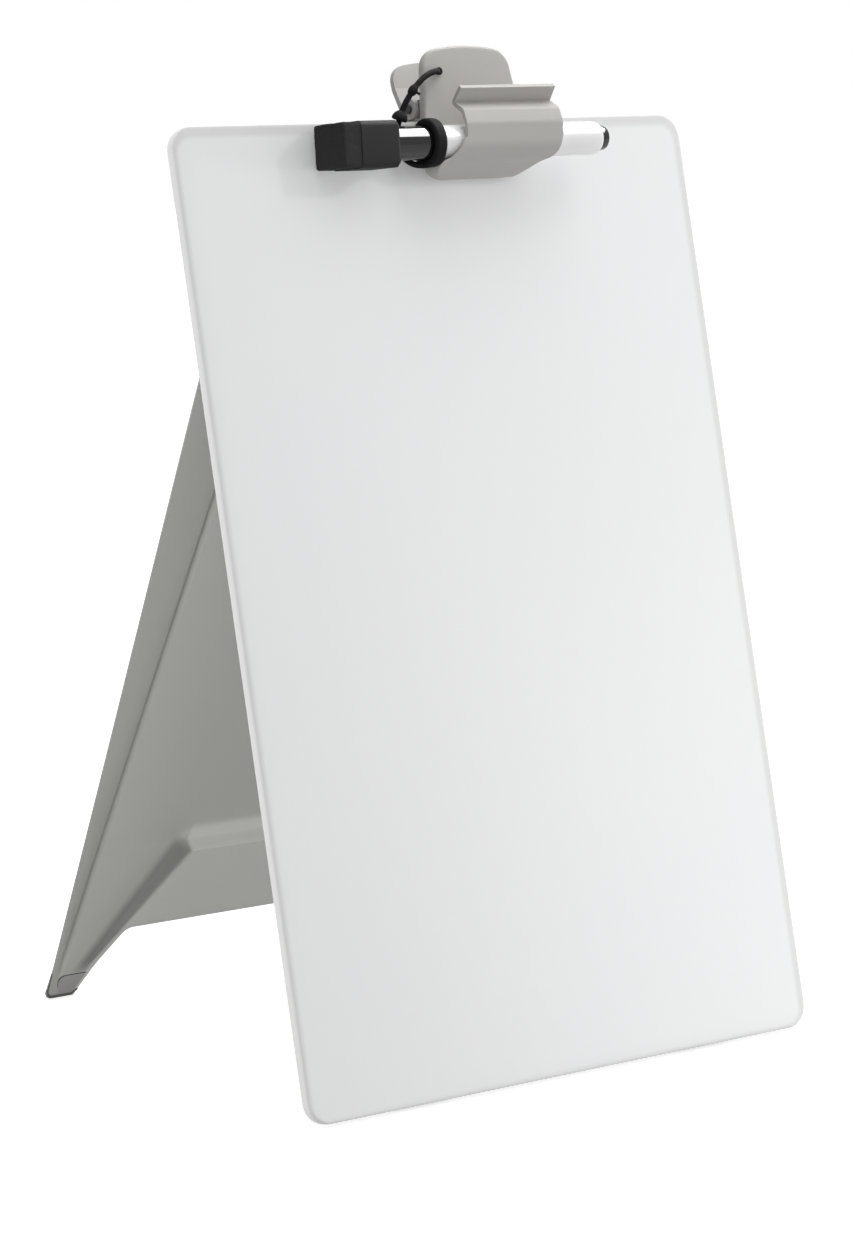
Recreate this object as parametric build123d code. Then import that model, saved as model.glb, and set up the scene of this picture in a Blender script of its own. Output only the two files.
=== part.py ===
from build123d import *

import os
from math import cos, pi, radians, sin, tan

# Magnetic desk whiteboard easel, in millimetres, +Z up.
# A glass writing board leans back on a hinged rear leg. A sprung clip on its top edge holds paper and,
# in a moulded channel, a marker whose cap carries an eraser and is tied to the clip by a rubber strap.
# Each piece is modelled on the upright board (or the upright leg) and then leaned into place.

# ---- driving dimensions ------------------------------------------------------------------------
BOARD_W = 220.0  # glass width
BOARD_H = 340.0  # glass height
GLASS_T = 4.0  # toughened glass thickness
GLASS_CORNER_R = 8.3
GLASS_FRONT_BEVEL = 0.9
GLASS_BACK_BEVEL = 0.5
BOARD_TILT = 14.6  # the board leans back this far from vertical, degrees
GLASS_LIFT = 1.6  # the front lower edge of the glass stands this far above the desk
FRONT_REACH = 97.985  # from the foremost edge of the glass back to the middle of the footprint

SHEET_T = 0.6  # steel sheet bonded to the back of the glass
SHEET_INSET = 5.0
TAPE_T = 0.8  # foam tape under the bracket

LEG_ANGLE = 17.7  # the leg leans forward this far from vertical, degrees
LEG_T = 3.0  # moulded wall of the leg
LEG_FOLD_GAP = 9.2  # between the leg's inner face and the steel sheet when folded flat
LEG_AXIS_DEPTH = 2.0  # the hinge axis lies this far behind the leg's inner face
HINGE_BELOW_TOP = 18.8  # hinge axis below the top edge of the board, along the board
LEG_HALF_AT_FOOT = 103.0
LEG_TAPER = 0.0795  # each side comes in by this much per millimetre of height
FOLD_HALF_AT_FOOT = 99.6  # where the side facets fold, measured like the outline
FOLD_TAPER = 0.170
FACET_ANGLE = 9.0  # the side facets are folded forward by this much, degrees
EDGE_T = 0.8  # the long edges are thin at the front and slant in towards the back
EDGE_TAPER = 2.4
LEG_TOP_CORNER_R = 9.0
ARCH_HALF = 73.0
ARCH_TOP = 28.0
FOOT_INNER_HALF = 90.6
STIFFENER_BOTTOM = 12.0  # the raised wedge over the arch grows out of the panel here
STIFFENER_TOP = 62.8
STIFFENER_RISE = 8.4
STIFFENER_HALF_TOP = 54.5
STIFFENER_HALF_LOW = 86.0
RIB_T = 1.8  # stiffening ribs on the leg's rear
RIB_H = 4.0
SOLE_T = 1.4

PIN_R = 1.6  # hinge pin
PIN_CLEARANCE = 0.07
KNUCKLE_R = 4.0  # leg barrel round the hinge pin
EAR_R = 4.6
EAR_W = 6.0
EAR_OUTER = 45.0  # outer face of the end ears
BRACKET_T = 2.5
BRACKET_W = 100.0
STOP_TAB = 7.0  # the leg reaches this far above its axis and meets the buffers

CLIP_X = 13.5  # the clip sits this far right of the board's centre line
PLATE_FRONT = 5.0  # front face of the front plate, ahead of the glass
PLATE_T = 3.2
CLIP_TOP = 25.8  # above the top edge of the glass
CLIP_BOTTOM = -21.7
CLIP_HALF_TOP = 18.8
CLIP_HALF_BOTTOM = 24.4
CLIP_PIN_UP = 4.8  # clip pin above the glass
CLIP_PIN_BACK = 3.0  # and behind its front face
CLIP_PIN_R = 1.0
CHANNEL_X0 = -0.9
CHANNEL_X1 = 41.1
CHANNEL_WALL = 1.5

MARKER_R = 6.0
MARKER_AHEAD = 11.3  # marker axis ahead of the glass
MARKER_BELOW = 10.1  # and below its top edge
BODY_X0 = -10.2
BODY_X1 = 61.4
PLUG_X1 = 65.0
CAP_X0 = -30.0  # the cap barrel starts at the eraser holder
HOLDER_X0 = -47.2
FELT_X0 = -54.5
HOLDER_HIGH = 16.3
HOLDER_DEEP = 19.5
HOLDER_DROP = 0.5  # the holder hangs this much lower than the barrel
HOLDER_ROLL = 5.1  # and is turned this far from square to the board, degrees
RING_X0 = -14.2
RING_X1 = -9.95
RING_OUTER_R = 8.55
RING_INNER_R = 6.25
STRAP_D = 2.1

# ---- places worked out from them ----------------------------------------------------------------
TOP = BOARD_H
SHEET_BACK = GLASS_T + SHEET_T
TAPE_BACK = SHEET_BACK + TAPE_T
BRACKET_BACK = TAPE_BACK + BRACKET_T
HINGE_UP = BOARD_H - HINGE_BELOW_TOP
HINGE_BACK = SHEET_BACK + LEG_FOLD_GAP + LEG_AXIS_DEPTH
tilt, lean = radians(BOARD_TILT), radians(LEG_ANGLE)
HINGE_Y = HINGE_UP * sin(tilt) + HINGE_BACK * cos(tilt)
HINGE_Z = GLASS_LIFT + HINGE_UP * cos(tilt) - HINGE_BACK * sin(tilt)
AXIS_UP_LEG = (HINGE_Z - LEG_AXIS_DEPTH * sin(lean)) / cos(lean)
FOOT_Y = HINGE_Y + AXIS_UP_LEG * sin(lean) - LEG_AXIS_DEPTH * cos(lean)
MARKER_UP = TOP - MARKER_BELOW
CLIP_PIN_Z = TOP + CLIP_PIN_UP
ON_BOARD = Pos(0, -FRONT_REACH, GLASS_LIFT) * Rot(X=-BOARD_TILT)
ON_LEG = Pos(0, FOOT_Y - FRONT_REACH, 0) * Rot(X=LEG_ANGLE)


# ---- helpers ------------------------------------------------------------------------------------
def plate(sketch, front, back):
    """A flat piece drawn in X and Z, between two distances behind the glass's front face."""
    return extrude(Plane.XZ.offset(-back) * sketch, amount=back - front)


def bar(sketch, x0, x1):
    """A bar along X of a section drawn in Y and Z."""
    return extrude(Plane.YZ.offset(x0) * sketch, amount=x1 - x0)


def rod(radius, x0, x1, y=0.0, z=0.0):
    return bar(Pos(y, z) * Circle(radius), x0, x1)


def turned(*profile):
    """A solid turned about the X axis from (x, radius) points; closes along the axis."""
    points = [(profile[0][0], 0), *profile, (profile[-1][0], 0)]
    face = make_face(Polyline(*points, close=True))
    return revolve(face, Axis.X, 360)


def along_marker(solid):
    """Puts a piece made about the X axis on the marker's axis."""
    return Pos(0, -MARKER_AHEAD, MARKER_UP) * solid


def half_leg(up, foot_half, taper):
    return foot_half - taper * up


# ---- board ---------------------------------------------------------------------------------------
def glass_panel():
    outline = Pos(0, BOARD_H / 2) * RectangleRounded(BOARD_W, BOARD_H, GLASS_CORNER_R)
    slab = plate(outline, 0, GLASS_T)
    slab = chamfer(slab.faces().sort_by(Axis.Y)[0].edges(), GLASS_FRONT_BEVEL)
    return chamfer(slab.faces().sort_by(Axis.Y)[-1].edges(), GLASS_BACK_BEVEL)


def steel_backing_sheet():
    outline = RectangleRounded(BOARD_W - 2 * SHEET_INSET, BOARD_H - 2 * SHEET_INSET, GLASS_CORNER_R - 3)
    return plate(Pos(0, BOARD_H / 2) * outline, GLASS_T, SHEET_BACK)


BRACKET_LOW = HINGE_UP - 27.0
BRACKET_HIGH = HINGE_UP + 7.8
BUFFER_W, BUFFER_H = 15.0, 6.0


def bracket_outline(inset=0.0):
    wide, high = BRACKET_W - 2 * inset, BRACKET_HIGH - BRACKET_LOW - 2 * inset
    return Pos(0, (BRACKET_LOW + BRACKET_HIGH) / 2) * RectangleRounded(wide, high, 6 - inset)


def bracket_tape():
    return plate(bracket_outline(1.5), SHEET_BACK, TAPE_BACK)


def ear_section():
    """Side view of a bracket ear: from its root on the base plate back to the pin."""
    nose = Pos(HINGE_BACK, HINGE_UP) * Circle(EAR_R)
    root = Pos(BRACKET_BACK - 0.5, HINGE_UP - 1.5) * Rectangle(1.0, 17.0)
    return make_hull(nose.edges() + root.edges())


def hinge_bracket():
    base = plate(bracket_outline(), TAPE_BACK, BRACKET_BACK)
    base = chamfer(base.faces().sort_by(Axis.Y)[-1].edges(), 0.8)
    ears = [bar(ear_section(), x, x + EAR_W) for x in (-EAR_OUTER, -EAR_W / 2, EAR_OUTER - EAR_W)]
    rib_outline = Pos(0, BRACKET_LOW + 6) * RectangleRounded(2 * EAR_OUTER, 3, 1.4)
    rib = plate(rib_outline, BRACKET_BACK - 0.5, BRACKET_BACK + 1.5)
    bracket = Part() + [base, rib] + ears
    return bracket - rod(PIN_R, -60, 60, HINGE_BACK, HINGE_UP)


def hinge_pin():
    pin = rod(PIN_R, -EAR_OUTER - 1.0, EAR_OUTER + 1.0, HINGE_BACK, HINGE_UP)
    return chamfer(pin.edges().filter_by(GeomType.CIRCLE), 0.35)


def buffer_depth():
    """How thick a buffer is so that the open leg's top edge just rests on it."""
    reach = HINGE_BACK - STOP_TAB * sin(tilt + lean) - LEG_AXIS_DEPTH * cos(tilt + lean)
    return reach - BRACKET_BACK - 0.05


def stop_buffers():
    pads = []
    for side in (-1, 1):
        spot = Pos(side * 21.0, HINGE_UP + 4.3)
        pad = plate(spot * RectangleRounded(BUFFER_W, BUFFER_H, 1.5), BRACKET_BACK, BRACKET_BACK + buffer_depth())
        pads.append(chamfer(pad.faces().sort_by(Axis.Y)[-1].edges(), 0.3))
    return Compound(children=pads)


def board_feet():
    """Two wedge pads on the back; their soles lie flat on the desk when the board leans."""
    pads = []
    for x in (-62.0, 62.0):
        block = plate(Pos(x, 5.0) * RectangleRounded(22, 16, 3), SHEET_BACK, SHEET_BACK + 4.5)
        edge = block.faces().sort_by(Axis.Y)[-1].edges()
        pads.append(chamfer(edge, 1.0))
    below = Rot(X=BOARD_TILT) * Pos(0, 0, -GLASS_LIFT - 10) * Box(300, 80, 20)
    return Compound(children=[pad - below for pad in pads])


# ---- leg -----------------------------------------------------------------------------------------
def leg_section(up, thick, inner=0.0):
    """Cross-section of the leg at a height: flat middle with a facet folded forward on each side."""
    edge, fold = half_leg(up, LEG_HALF_AT_FOOT, LEG_TAPER), half_leg(up, FOLD_HALF_AT_FOOT, FOLD_TAPER)
    ahead = (edge - fold) * tan(radians(FACET_ANGLE))
    slant = tan(radians(FACET_ANGLE))
    inside = [(-edge, inner - ahead), (-fold, inner), (fold, inner), (edge, inner - ahead)]
    rear = edge - EDGE_TAPER
    outside = [(edge, inner - ahead + EDGE_T), (rear, inner - (rear - fold) * slant + thick), (fold, inner + thick)]
    outside += [(-x, y) for x, y in reversed(outside)]
    return Pos(0, 0, up) * make_face(Polyline(*inside, *outside, close=True))


def arch_outline():
    low = -8.0
    spread = FOOT_INNER_HALF + (FOOT_INNER_HALF - ARCH_HALF) * -low / ARCH_TOP
    points = [(-spread, low), (-ARCH_HALF, ARCH_TOP), (ARCH_HALF, ARCH_TOP), (spread, low)]
    sketch = make_face(Polyline(*points, close=True))
    top = sketch.vertices().group_by(Axis.Y)[-1]
    return fillet(top, 3.0)


def stiffener():
    """Wedge over the arch, growing out of the inner face towards its top, with slanted ends."""
    side = make_face(Polyline((0.5, STIFFENER_BOTTOM), (0, STIFFENER_BOTTOM), (-STIFFENER_RISE, STIFFENER_TOP),
                              (0.5, STIFFENER_TOP), close=True))
    wedge = bar(side, -BOARD_W / 2, BOARD_W / 2)
    slope = (STIFFENER_HALF_LOW - STIFFENER_HALF_TOP) / (STIFFENER_TOP - 14.0)
    low_half = STIFFENER_HALF_LOW + slope * 14.0
    ends = make_face(Polyline((-low_half, 0), (-STIFFENER_HALF_TOP, STIFFENER_TOP),
                              (STIFFENER_HALF_TOP, STIFFENER_TOP), (low_half, 0), close=True))
    wedge = wedge & plate(ends, -20, 5)
    crest = wedge.edges().filter_by(Axis.X).sort_by(Axis.Y)[0]
    return fillet(crest, 2.0)


def leg_outline():
    """The leg seen square on, with rounded top corners."""
    low, high = -6.0, AXIS_UP_LEG + STOP_TAB
    shoulder = AXIS_UP_LEG - 1.0
    half = half_leg(shoulder, LEG_HALF_AT_FOOT, LEG_TAPER) + 2
    points = [(-110, low), (-110, 40), (-half, shoulder), (-EAR_OUTER - 1.0, shoulder), (-EAR_OUTER - 1.0, high),
              (EAR_OUTER + 1.0, high), (EAR_OUTER + 1.0, shoulder), (half, shoulder), (110, 40), (110, low)]
    sketch = make_face(Polyline(*points, close=True))
    corners = [v for v in sketch.vertices() if abs(abs(v.X) - half) < 0.01]
    return fillet(corners, LEG_TOP_CORNER_R)


def leg_ribs():
    """Moulded ribs on the hidden rear face: one over the arch and two that run up to the barrel."""
    depth = LEG_T + RIB_H
    ribs = [plate(Pos(0, ARCH_TOP + 3.2) * Rectangle(2 * ARCH_HALF - 6, RIB_T), LEG_T - 0.5, depth)]
    for side in (-1, 1):
        foot, head = (side * 84, 22), (side * 38, AXIS_UP_LEG - 3)
        line = Line(foot, head)
        ribs.append(plate(trace(line, RIB_T), LEG_T - 0.5, depth))
    return ribs


def foot_regions(side):
    """The space each rubber tip fills: the sole, a strip up the outer edge and a tab on the inner face."""
    under = Rot(X=-LEG_ANGLE) * Pos(side * 95, 0, SOLE_T - 10) * Box(60, 60, 20)
    strip = plate(Pos(side * 108, 4) * Rectangle(13.4, 14.0), -10, 10)
    tab = plate(Pos(side * 91.5, 5.2) * RectangleRounded(11.0, 11.0, 2.0), -10, 1.2)
    return Part() + [under, strip, tab]


def leg_solids():
    low, high = -6.0, AXIS_UP_LEG + STOP_TAB
    shell = loft([leg_section(low, LEG_T), leg_section(high, LEG_T)], ruled=True)
    shell = shell & plate(leg_outline(), -20, 20)
    shell = Part() + [shell, stiffener()] + leg_ribs()
    barrel = rod(KNUCKLE_R, -EAR_OUTER + EAR_W + 0.4, EAR_OUTER - EAR_W - 0.4, LEG_AXIS_DEPTH, AXIS_UP_LEG)
    shell = shell + barrel
    shell = shell - plate(arch_outline(), -30, 30)
    for middle in (-EAR_OUTER + EAR_W / 2, 0, EAR_OUTER - EAR_W / 2):
        notch = Pos(middle, AXIS_UP_LEG + 10) * Rectangle(EAR_W + 0.8, 34.0)
        shell = shell - plate(notch, -30, 30)
    shell = shell - rod(PIN_R + PIN_CLEARANCE, -60, 60, LEG_AXIS_DEPTH, AXIS_UP_LEG)
    floor = Rot(X=-LEG_ANGLE) * Pos(0, 0, -10) * Box(300, 80, 20)
    shell = shell - floor
    tips = []
    for side in (-1, 1):
        region = foot_regions(side)
        tips.append(shell & region)
        shell = shell - region
    return shell, tips


# ---- clip ----------------------------------------------------------------------------------------
def clip_outline(top):
    """Tapered plate with a crowned top and rounded corners, shared by the front plate and the wing."""
    taper = (CLIP_HALF_BOTTOM - CLIP_HALF_TOP) / (CLIP_TOP - 5 - CLIP_BOTTOM)
    shoulder = top - 2.2
    half_top = CLIP_HALF_TOP - taper * (shoulder - (CLIP_TOP - 5))
    crown = ThreePointArc((-half_top, shoulder), (0, top), (half_top, shoulder))
    right = Line((half_top, shoulder), (CLIP_HALF_BOTTOM, CLIP_BOTTOM))
    base = Line((CLIP_HALF_BOTTOM, CLIP_BOTTOM), (-CLIP_HALF_BOTTOM, CLIP_BOTTOM))
    left = Line((-CLIP_HALF_BOTTOM, CLIP_BOTTOM), (-half_top, shoulder))
    sketch = make_face([crown, right, base, left])
    low_left, low_right = sketch.vertices().group_by(Axis.Y)[0].sort_by(Axis.X)
    sketch = fillet(low_left, 7.0)
    low_right = sketch.vertices().sort_by_distance((CLIP_HALF_BOTTOM, CLIP_BOTTOM, 0))[0]
    sketch = fillet(low_right, 12.5)
    sketch = fillet(sketch.vertices().group_by(Axis.Y)[-1], 8.0)
    return Pos(CLIP_X, TOP) * sketch


def channel_section():
    """Constant wall that leaves the plate, cups the marker, narrows to a throat and flares to a lip."""
    cup = MARKER_R + 0.3 + CHANNEL_WALL / 2
    low_z = MARKER_UP - cup
    points = [(-PLATE_FRONT + 1.2, low_z), (-17.45, low_z), (-19.2, TOP - 5.2), (-18.0, TOP - 0.4), (-13.1, TOP + 3.4),
              (-18.7, TOP + 7.9)]
    path = FilletPolyline(*points, radius=[cup - 0.05, 4.0, 1.8, 0.8])
    return trace(path, CHANNEL_WALL)


def channel_skirt():
    """Solid under the cup that runs in one slope from its front down to the plate's lower edge."""
    slope = [(-5.0, -17.0), (-14.9, -17.0), (-5.2, -21.7), (-3.6, -21.7), (-3.6, -17.0)]
    skirt = make_face(Polyline(*[(y, TOP + z) for y, z in slope], close=True))
    return bar(skirt, -12.0, 40.0)


def channel_front():
    """The channel seen square on: straight above, swept down into the plate's lower corners."""
    right = Spline((41.1, -9.0), (40.4, -12.1), (39.3, -15.4), (37.6, -17.1), (34.4, -18.1), (31.9, -19.5),
                   (29.6, -20.7), (25.6, -21.8), tangents=[(0, -1), (-1, 0)])
    left = Spline((-5.0, -21.6), (-7.6, -20.4), (-9.2, -18.6), (-9.1, -17.4), (-7.4, -16.6), (-5.4, -15.4),
                  (-3.4, -12.9), (-1.9, -10.1), (CHANNEL_X0, -6.0), tangents=[(-1, 0.1), (0, 1)])
    high = 12.0
    straight = [Line((25.6, -21.8), (-5.0, -21.6)), Line((CHANNEL_X0, -6.0), (CHANNEL_X0, high)),
                Line((CHANNEL_X0, high), (39.8, high)), Line((39.8, high), (41.1, 2.5)), Line((41.1, 2.5), (41.1, -9.0))]
    return Pos(0, TOP) * make_face([right, left, *straight])


def clip_ear(radius, reach, root_up, root_down):
    """Ear seen from the side: a round eye on the clip pin with a root that reaches to its plate."""
    eye = Pos(CLIP_PIN_BACK, CLIP_PIN_Z) * Circle(radius)
    root = Pos(reach, CLIP_PIN_Z + (root_up - root_down) / 2) * Rectangle(0.6, root_up + root_down)
    return make_hull(eye.edges() + root.edges())


def clip_front_plate():
    body = plate(clip_outline(CLIP_TOP), -PLATE_FRONT, -PLATE_FRONT + PLATE_T)
    body = fillet(body.faces().sort_by(Axis.Y)[0].edges(), 1.3)
    body = fillet(body.faces().sort_by(Axis.Y)[-1].edges(), 0.6)
    channel = bar(channel_section(), CHANNEL_X0 - 12.0, CHANNEL_X1) + channel_skirt()
    channel = channel - rod(MARKER_R + 0.3, -60, 60, -MARKER_AHEAD, MARKER_UP)
    channel = channel & plate(channel_front(), -30, 0)
    ear = clip_ear(2.9, -PLATE_FRONT + PLATE_T - 0.4, 2.6, 5.2)
    ears = [bar(ear, CLIP_X + x, CLIP_X + x + 2.0) for x in (-19.6, 17.6)]
    body = Part() + [body, channel] + ears
    body = body - rod(CLIP_PIN_R + PIN_CLEARANCE, -60, 60, CLIP_PIN_BACK, CLIP_PIN_Z)
    eyelet = Pos(0.3, -3, TOP + 16.4) * Rot(X=90) * Cylinder(1.3, 12)
    return body - eyelet


def wing_section():
    """Rear jaw and squeeze wing in one bent strip: flat on the board's back, then two facets back and up."""
    points = [(6.6, TOP - 9.8), (6.6, TOP + 1.0), (13.9, TOP + 14.2), (17.4, TOP + 26.4)]
    return trace(FilletPolyline(*points, radius=[4.0, 1.6]), 2.0)


def clip_rear_plate():
    strip = bar(wing_section(), CLIP_X - 30, CLIP_X + 30)
    strip = strip & plate(clip_outline(CLIP_TOP - 1.3), -10, 40)
    block = Pos(3.25, TOP + 4.65) * RectangleRounded(7.3, 6.7, 2.0)
    root = Pos(8.2, TOP + 5.6) * Rectangle(0.6, 3.4)
    ear = make_hull(block.edges() + root.edges())
    ears = [bar(ear, CLIP_X + x, CLIP_X + x + 1.8) for x in (-21.9, 20.1)]
    body = Part() + [strip] + ears
    return body - rod(CLIP_PIN_R, -60, 60, CLIP_PIN_BACK, CLIP_PIN_Z)


def clip_pin():
    pin = rod(CLIP_PIN_R, CLIP_X - 22.4, CLIP_X + 22.4, CLIP_PIN_BACK, CLIP_PIN_Z)
    heads = [rod(1.7, CLIP_X + x, CLIP_X + x + 0.6, CLIP_PIN_BACK, CLIP_PIN_Z) for x in (-22.6, 22.0)]
    return Part() + [pin] + heads


SPRING_R, SPRING_WIRE, SPRING_PITCH = 2.1, 0.35, 0.8
SPRING_ARM = 8.8
FRONT_ARM_LEAN = 12.3  # the front arm leans forward to the plate, degrees from the board
REAR_ARM_LEAN = 38.3  # the rear arm lies back against the wing


def clip_spring():
    """Torsion spring round the pin, one arm behind the front plate and one against the wing."""
    phase = FRONT_ARM_LEAN - 90.0
    turns = 4 + (90.0 - REAR_ARM_LEAN - phase) / 360.0
    coil = Helix(SPRING_PITCH, SPRING_PITCH * turns, SPRING_R)
    wire = sweep(Plane(coil @ 0, z_dir=coil % 0) * Circle(SPRING_WIRE), path=coil)
    front_arm = Plane(coil @ 0, z_dir=-(coil % 0)) * extrude(Circle(SPRING_WIRE), amount=SPRING_ARM)
    rear_arm = Plane(coil @ 1, z_dir=coil % 1) * extrude(Circle(SPRING_WIRE), amount=SPRING_ARM)
    spring = Rot(Z=phase) * (Part() + [wire, front_arm, rear_arm])
    return Pos(CLIP_X, CLIP_PIN_BACK, CLIP_PIN_Z) * Rot(Y=90) * spring


def clip_jaw_pad():
    pad = plate(Pos(CLIP_X, TOP - 16.2) * RectangleRounded(38, 6, 2), -PLATE_FRONT + PLATE_T, 0)
    return pad


def clip_rear_pad():
    return plate(Pos(CLIP_X, TOP - 7.6) * RectangleRounded(36, 3.8, 1.2), SHEET_BACK, 5.6)


# ---- strap ---------------------------------------------------------------------------------------
# points of the strap's route: right of centre, behind the glass's front face, above its top edge
STRAP_ROUTE = [(0.3, -5.2, 16.4), (-2.4, -8.3, 16.1), (-8.0, -9.2, 14.2), (-12.0, -8.6, 11.0), (-14.9, -7.2, 7.4),
               (-16.9, -5.6, 3.9), (-19.2, -3.2, -2.6), (-19.8, -2.7, -9.2), (-18.9, -4.4, -14.4),
               (-16.2, -8.0, -17.8), (-12.6, -10.0, -17.6)]


def strap_points():
    return [Vector(x, y, TOP + z) for x, y, z in STRAP_ROUTE]


def strap_radii(points):
    """Each bend is as large as its two runs allow."""
    radii = []
    for before, here, after in zip(points, points[1:], points[2:]):
        turn = radians((here - before).get_angle(after - here))
        run = min((here - before).length, (after - here).length)
        radii.append(0.45 * run / tan(turn / 2))
    return radii


def tether():
    points = strap_points()
    radii = strap_radii(points)
    print("strap bend radii", [round(r, 1) for r in radii], "in diameters", [round(r / STRAP_D, 1) for r in radii])
    path = FilletPolyline(*points, radius=radii)
    tube = sweep(Plane(path @ 0, z_dir=path % 0) * Circle(STRAP_D / 2), path=path)
    print("strap length", round(path.length, 2), "volume", round(tube.volume, 2), "expected",
          round(path.length * pi * STRAP_D**2 / 4, 2))
    return tube


def bead_at(index, radius, long):
    """A moulded bead threaded on the strap, lying along the run that starts at a route point."""
    points = strap_points()
    middle = (points[index] + points[index + 1]) * 0.5
    way = (points[index + 1] - points[index]).normalized()
    bead = extrude(Circle(radius), amount=long / 2, both=True)
    bead = fillet(bead.edges().filter_by(GeomType.CIRCLE), radius * 0.45)
    return Plane(middle, z_dir=way) * bead


def tether_anchor():
    """Eye on the end of the strap, seated in the hole of the front plate."""
    stem = Pos(0.3, -PLATE_FRONT + 0.4, TOP + 16.4) * Rot(X=90) * Cylinder(1.15, 3.2)
    flange = Pos(0.3, -PLATE_FRONT - 0.35, TOP + 16.4) * Rot(X=90) * Cylinder(1.4, 0.7)
    return stem + flange


def tether_ring():
    ring = rod(RING_OUTER_R, RING_X0, RING_X1) - rod(RING_INNER_R, RING_X0 - 1, RING_X1 + 1)
    outer = ring.edges().filter_by(GeomType.CIRCLE).sort_by(SortBy.RADIUS)[-2:]
    ring = fillet(outer, 1.0)
    return along_marker(ring)


# ---- marker --------------------------------------------------------------------------------------
def marker_barrel():
    tube = rod(MARKER_R, BODY_X0, BODY_X1)
    ends = tube.edges().filter_by(GeomType.CIRCLE).sort_by(Axis.X)
    tube = chamfer(ends[-1], 0.15)
    bore = rod(4.9, BODY_X0 - 1, BODY_X1 - 4.0) + rod(3.9, BODY_X1 - 5, BODY_X1 + 1)
    return along_marker(tube - bore)


def marker_end_plug():
    plug = turned((BODY_X1 - 3.8, 3.88), (BODY_X1 + 0.02, 3.88), (BODY_X1 + 0.02, 5.8), (BODY_X1 + 1.2, 4.7),
                  (BODY_X1 + 1.3, 4.45), (PLUG_X1 - 0.8, 4.4), (PLUG_X1 - 0.2, 4.0), (PLUG_X1, 3.4))
    return along_marker(plug)


def marker_section():
    """Nib holder: pressed into the barrel, with the neck that the cap grips and a cone to the nib."""
    section = turned((BODY_X0 + 9.0, 4.88), (BODY_X0, 4.88), (BODY_X0, 5.18), (BODY_X0 - 6.0, 5.18),
                     (BODY_X0 - 7.0, 4.3), (BODY_X0 - 12.5, 2.6), (BODY_X0 - 12.5, 1.62))
    return along_marker(section - rod(1.6, BODY_X0 - 20, BODY_X0 + 4.0))


def marker_nib():
    nib = turned((BODY_X0 + 4.0, 1.6), (BODY_X0 - 14.5, 1.6), (BODY_X0 - 16.0, 1.2), (BODY_X0 - 16.6, 0.4))
    return along_marker(nib)


def ink_reservoir():
    wick = rod(4.4, BODY_X0 + 9.3, BODY_X1 - 4.4)
    return along_marker(chamfer(wick.edges().filter_by(GeomType.CIRCLE), 0.6))


def cap_shell():
    """Cap barrel and eraser holder in one moulding; the holder is turned a little towards level."""
    barrel = rod(MARKER_R - 0.05, CAP_X0 - 2.0, BODY_X0 - 0.15)
    long = CAP_X0 - HOLDER_X0
    holder = Pos((CAP_X0 + HOLDER_X0) / 2, 0, 0) * Box(long, HOLDER_DEEP, HOLDER_HIGH)
    holder = fillet(holder.edges().filter_by(Axis.X), 2.2)
    holder = chamfer(holder.faces().sort_by(Axis.X)[-1].edges(), 2.0)
    socket = Pos(HOLDER_X0, 0, 0) * Box(4.0, HOLDER_DEEP - 4.0, HOLDER_HIGH - 4.0)
    body = Rot(X=HOLDER_ROLL) * Pos(0, 0, -HOLDER_DROP) * (holder - socket) + barrel
    return along_marker(body - rod(5.25, CAP_X0 + 1.0, BODY_X0 + 1))


def cap_seal():
    seal = turned((CAP_X0 + 1.0, 4.9), (CAP_X0 + 2.6, 4.9), (CAP_X0 + 2.6, 2.2))
    return along_marker(seal)


def eraser_felt():
    pad = Pos((FELT_X0 + HOLDER_X0) / 2, 0, 0) * Box(HOLDER_X0 - FELT_X0, HOLDER_DEEP - 0.5, HOLDER_HIGH - 0.5)
    pad = fillet(pad.edges().filter_by(Axis.X), 1.5)
    pad = fillet(pad.faces().sort_by(Axis.X)[0].edges(), 0.8)
    stub = Pos(HOLDER_X0 + 0.95, 0, 0) * Box(2.1, HOLDER_DEEP - 4.2, HOLDER_HIGH - 4.2)
    return along_marker(Rot(X=HOLDER_ROLL) * Pos(0, 0, -HOLDER_DROP) * (pad + stub))


# ---- write the nodes -----------------------------------------------------------------------------
def nodes():
    on_board = {
        "glass_panel": glass_panel(),
        "steel_backing_sheet": steel_backing_sheet(),
        "bracket_tape": bracket_tape(),
        "hinge_bracket": hinge_bracket(),
        "hinge_pin": hinge_pin(),
        "stop_buffers": stop_buffers(),
        "board_feet": board_feet(),
        "clip_rear_plate": clip_rear_plate(),
        "clip_rear_pad": clip_rear_pad(),
        "clip_pin": clip_pin(),
        "clip_spring": clip_spring(),
        "clip_front_plate": clip_front_plate(),
        "clip_jaw_pad": clip_jaw_pad(),
        "tether": tether(),
        "tether_anchor": tether_anchor(),
        "tether_bead_upper": bead_at(3, 1.6, 3.4),
        "tether_bead_lower": bead_at(5, 2.8, 2.8),
        "tether_ring": tether_ring(),
        "marker_barrel": marker_barrel(),
        "marker_end_plug": marker_end_plug(),
        "marker_section": marker_section(),
        "marker_nib": marker_nib(),
        "ink_reservoir": ink_reservoir(),
        "cap_shell": cap_shell(),
        "cap_seal": cap_seal(),
        "eraser_felt": eraser_felt(),
    }
    shell, tips = leg_solids()
    on_leg = {"leg_panel": shell, "leg_foot_left": tips[0], "leg_foot_right": tips[1]}
    placed = {name: ON_BOARD * piece for name, piece in on_board.items()}
    placed.update({name: ON_LEG * piece for name, piece in on_leg.items()})
    return placed


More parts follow.
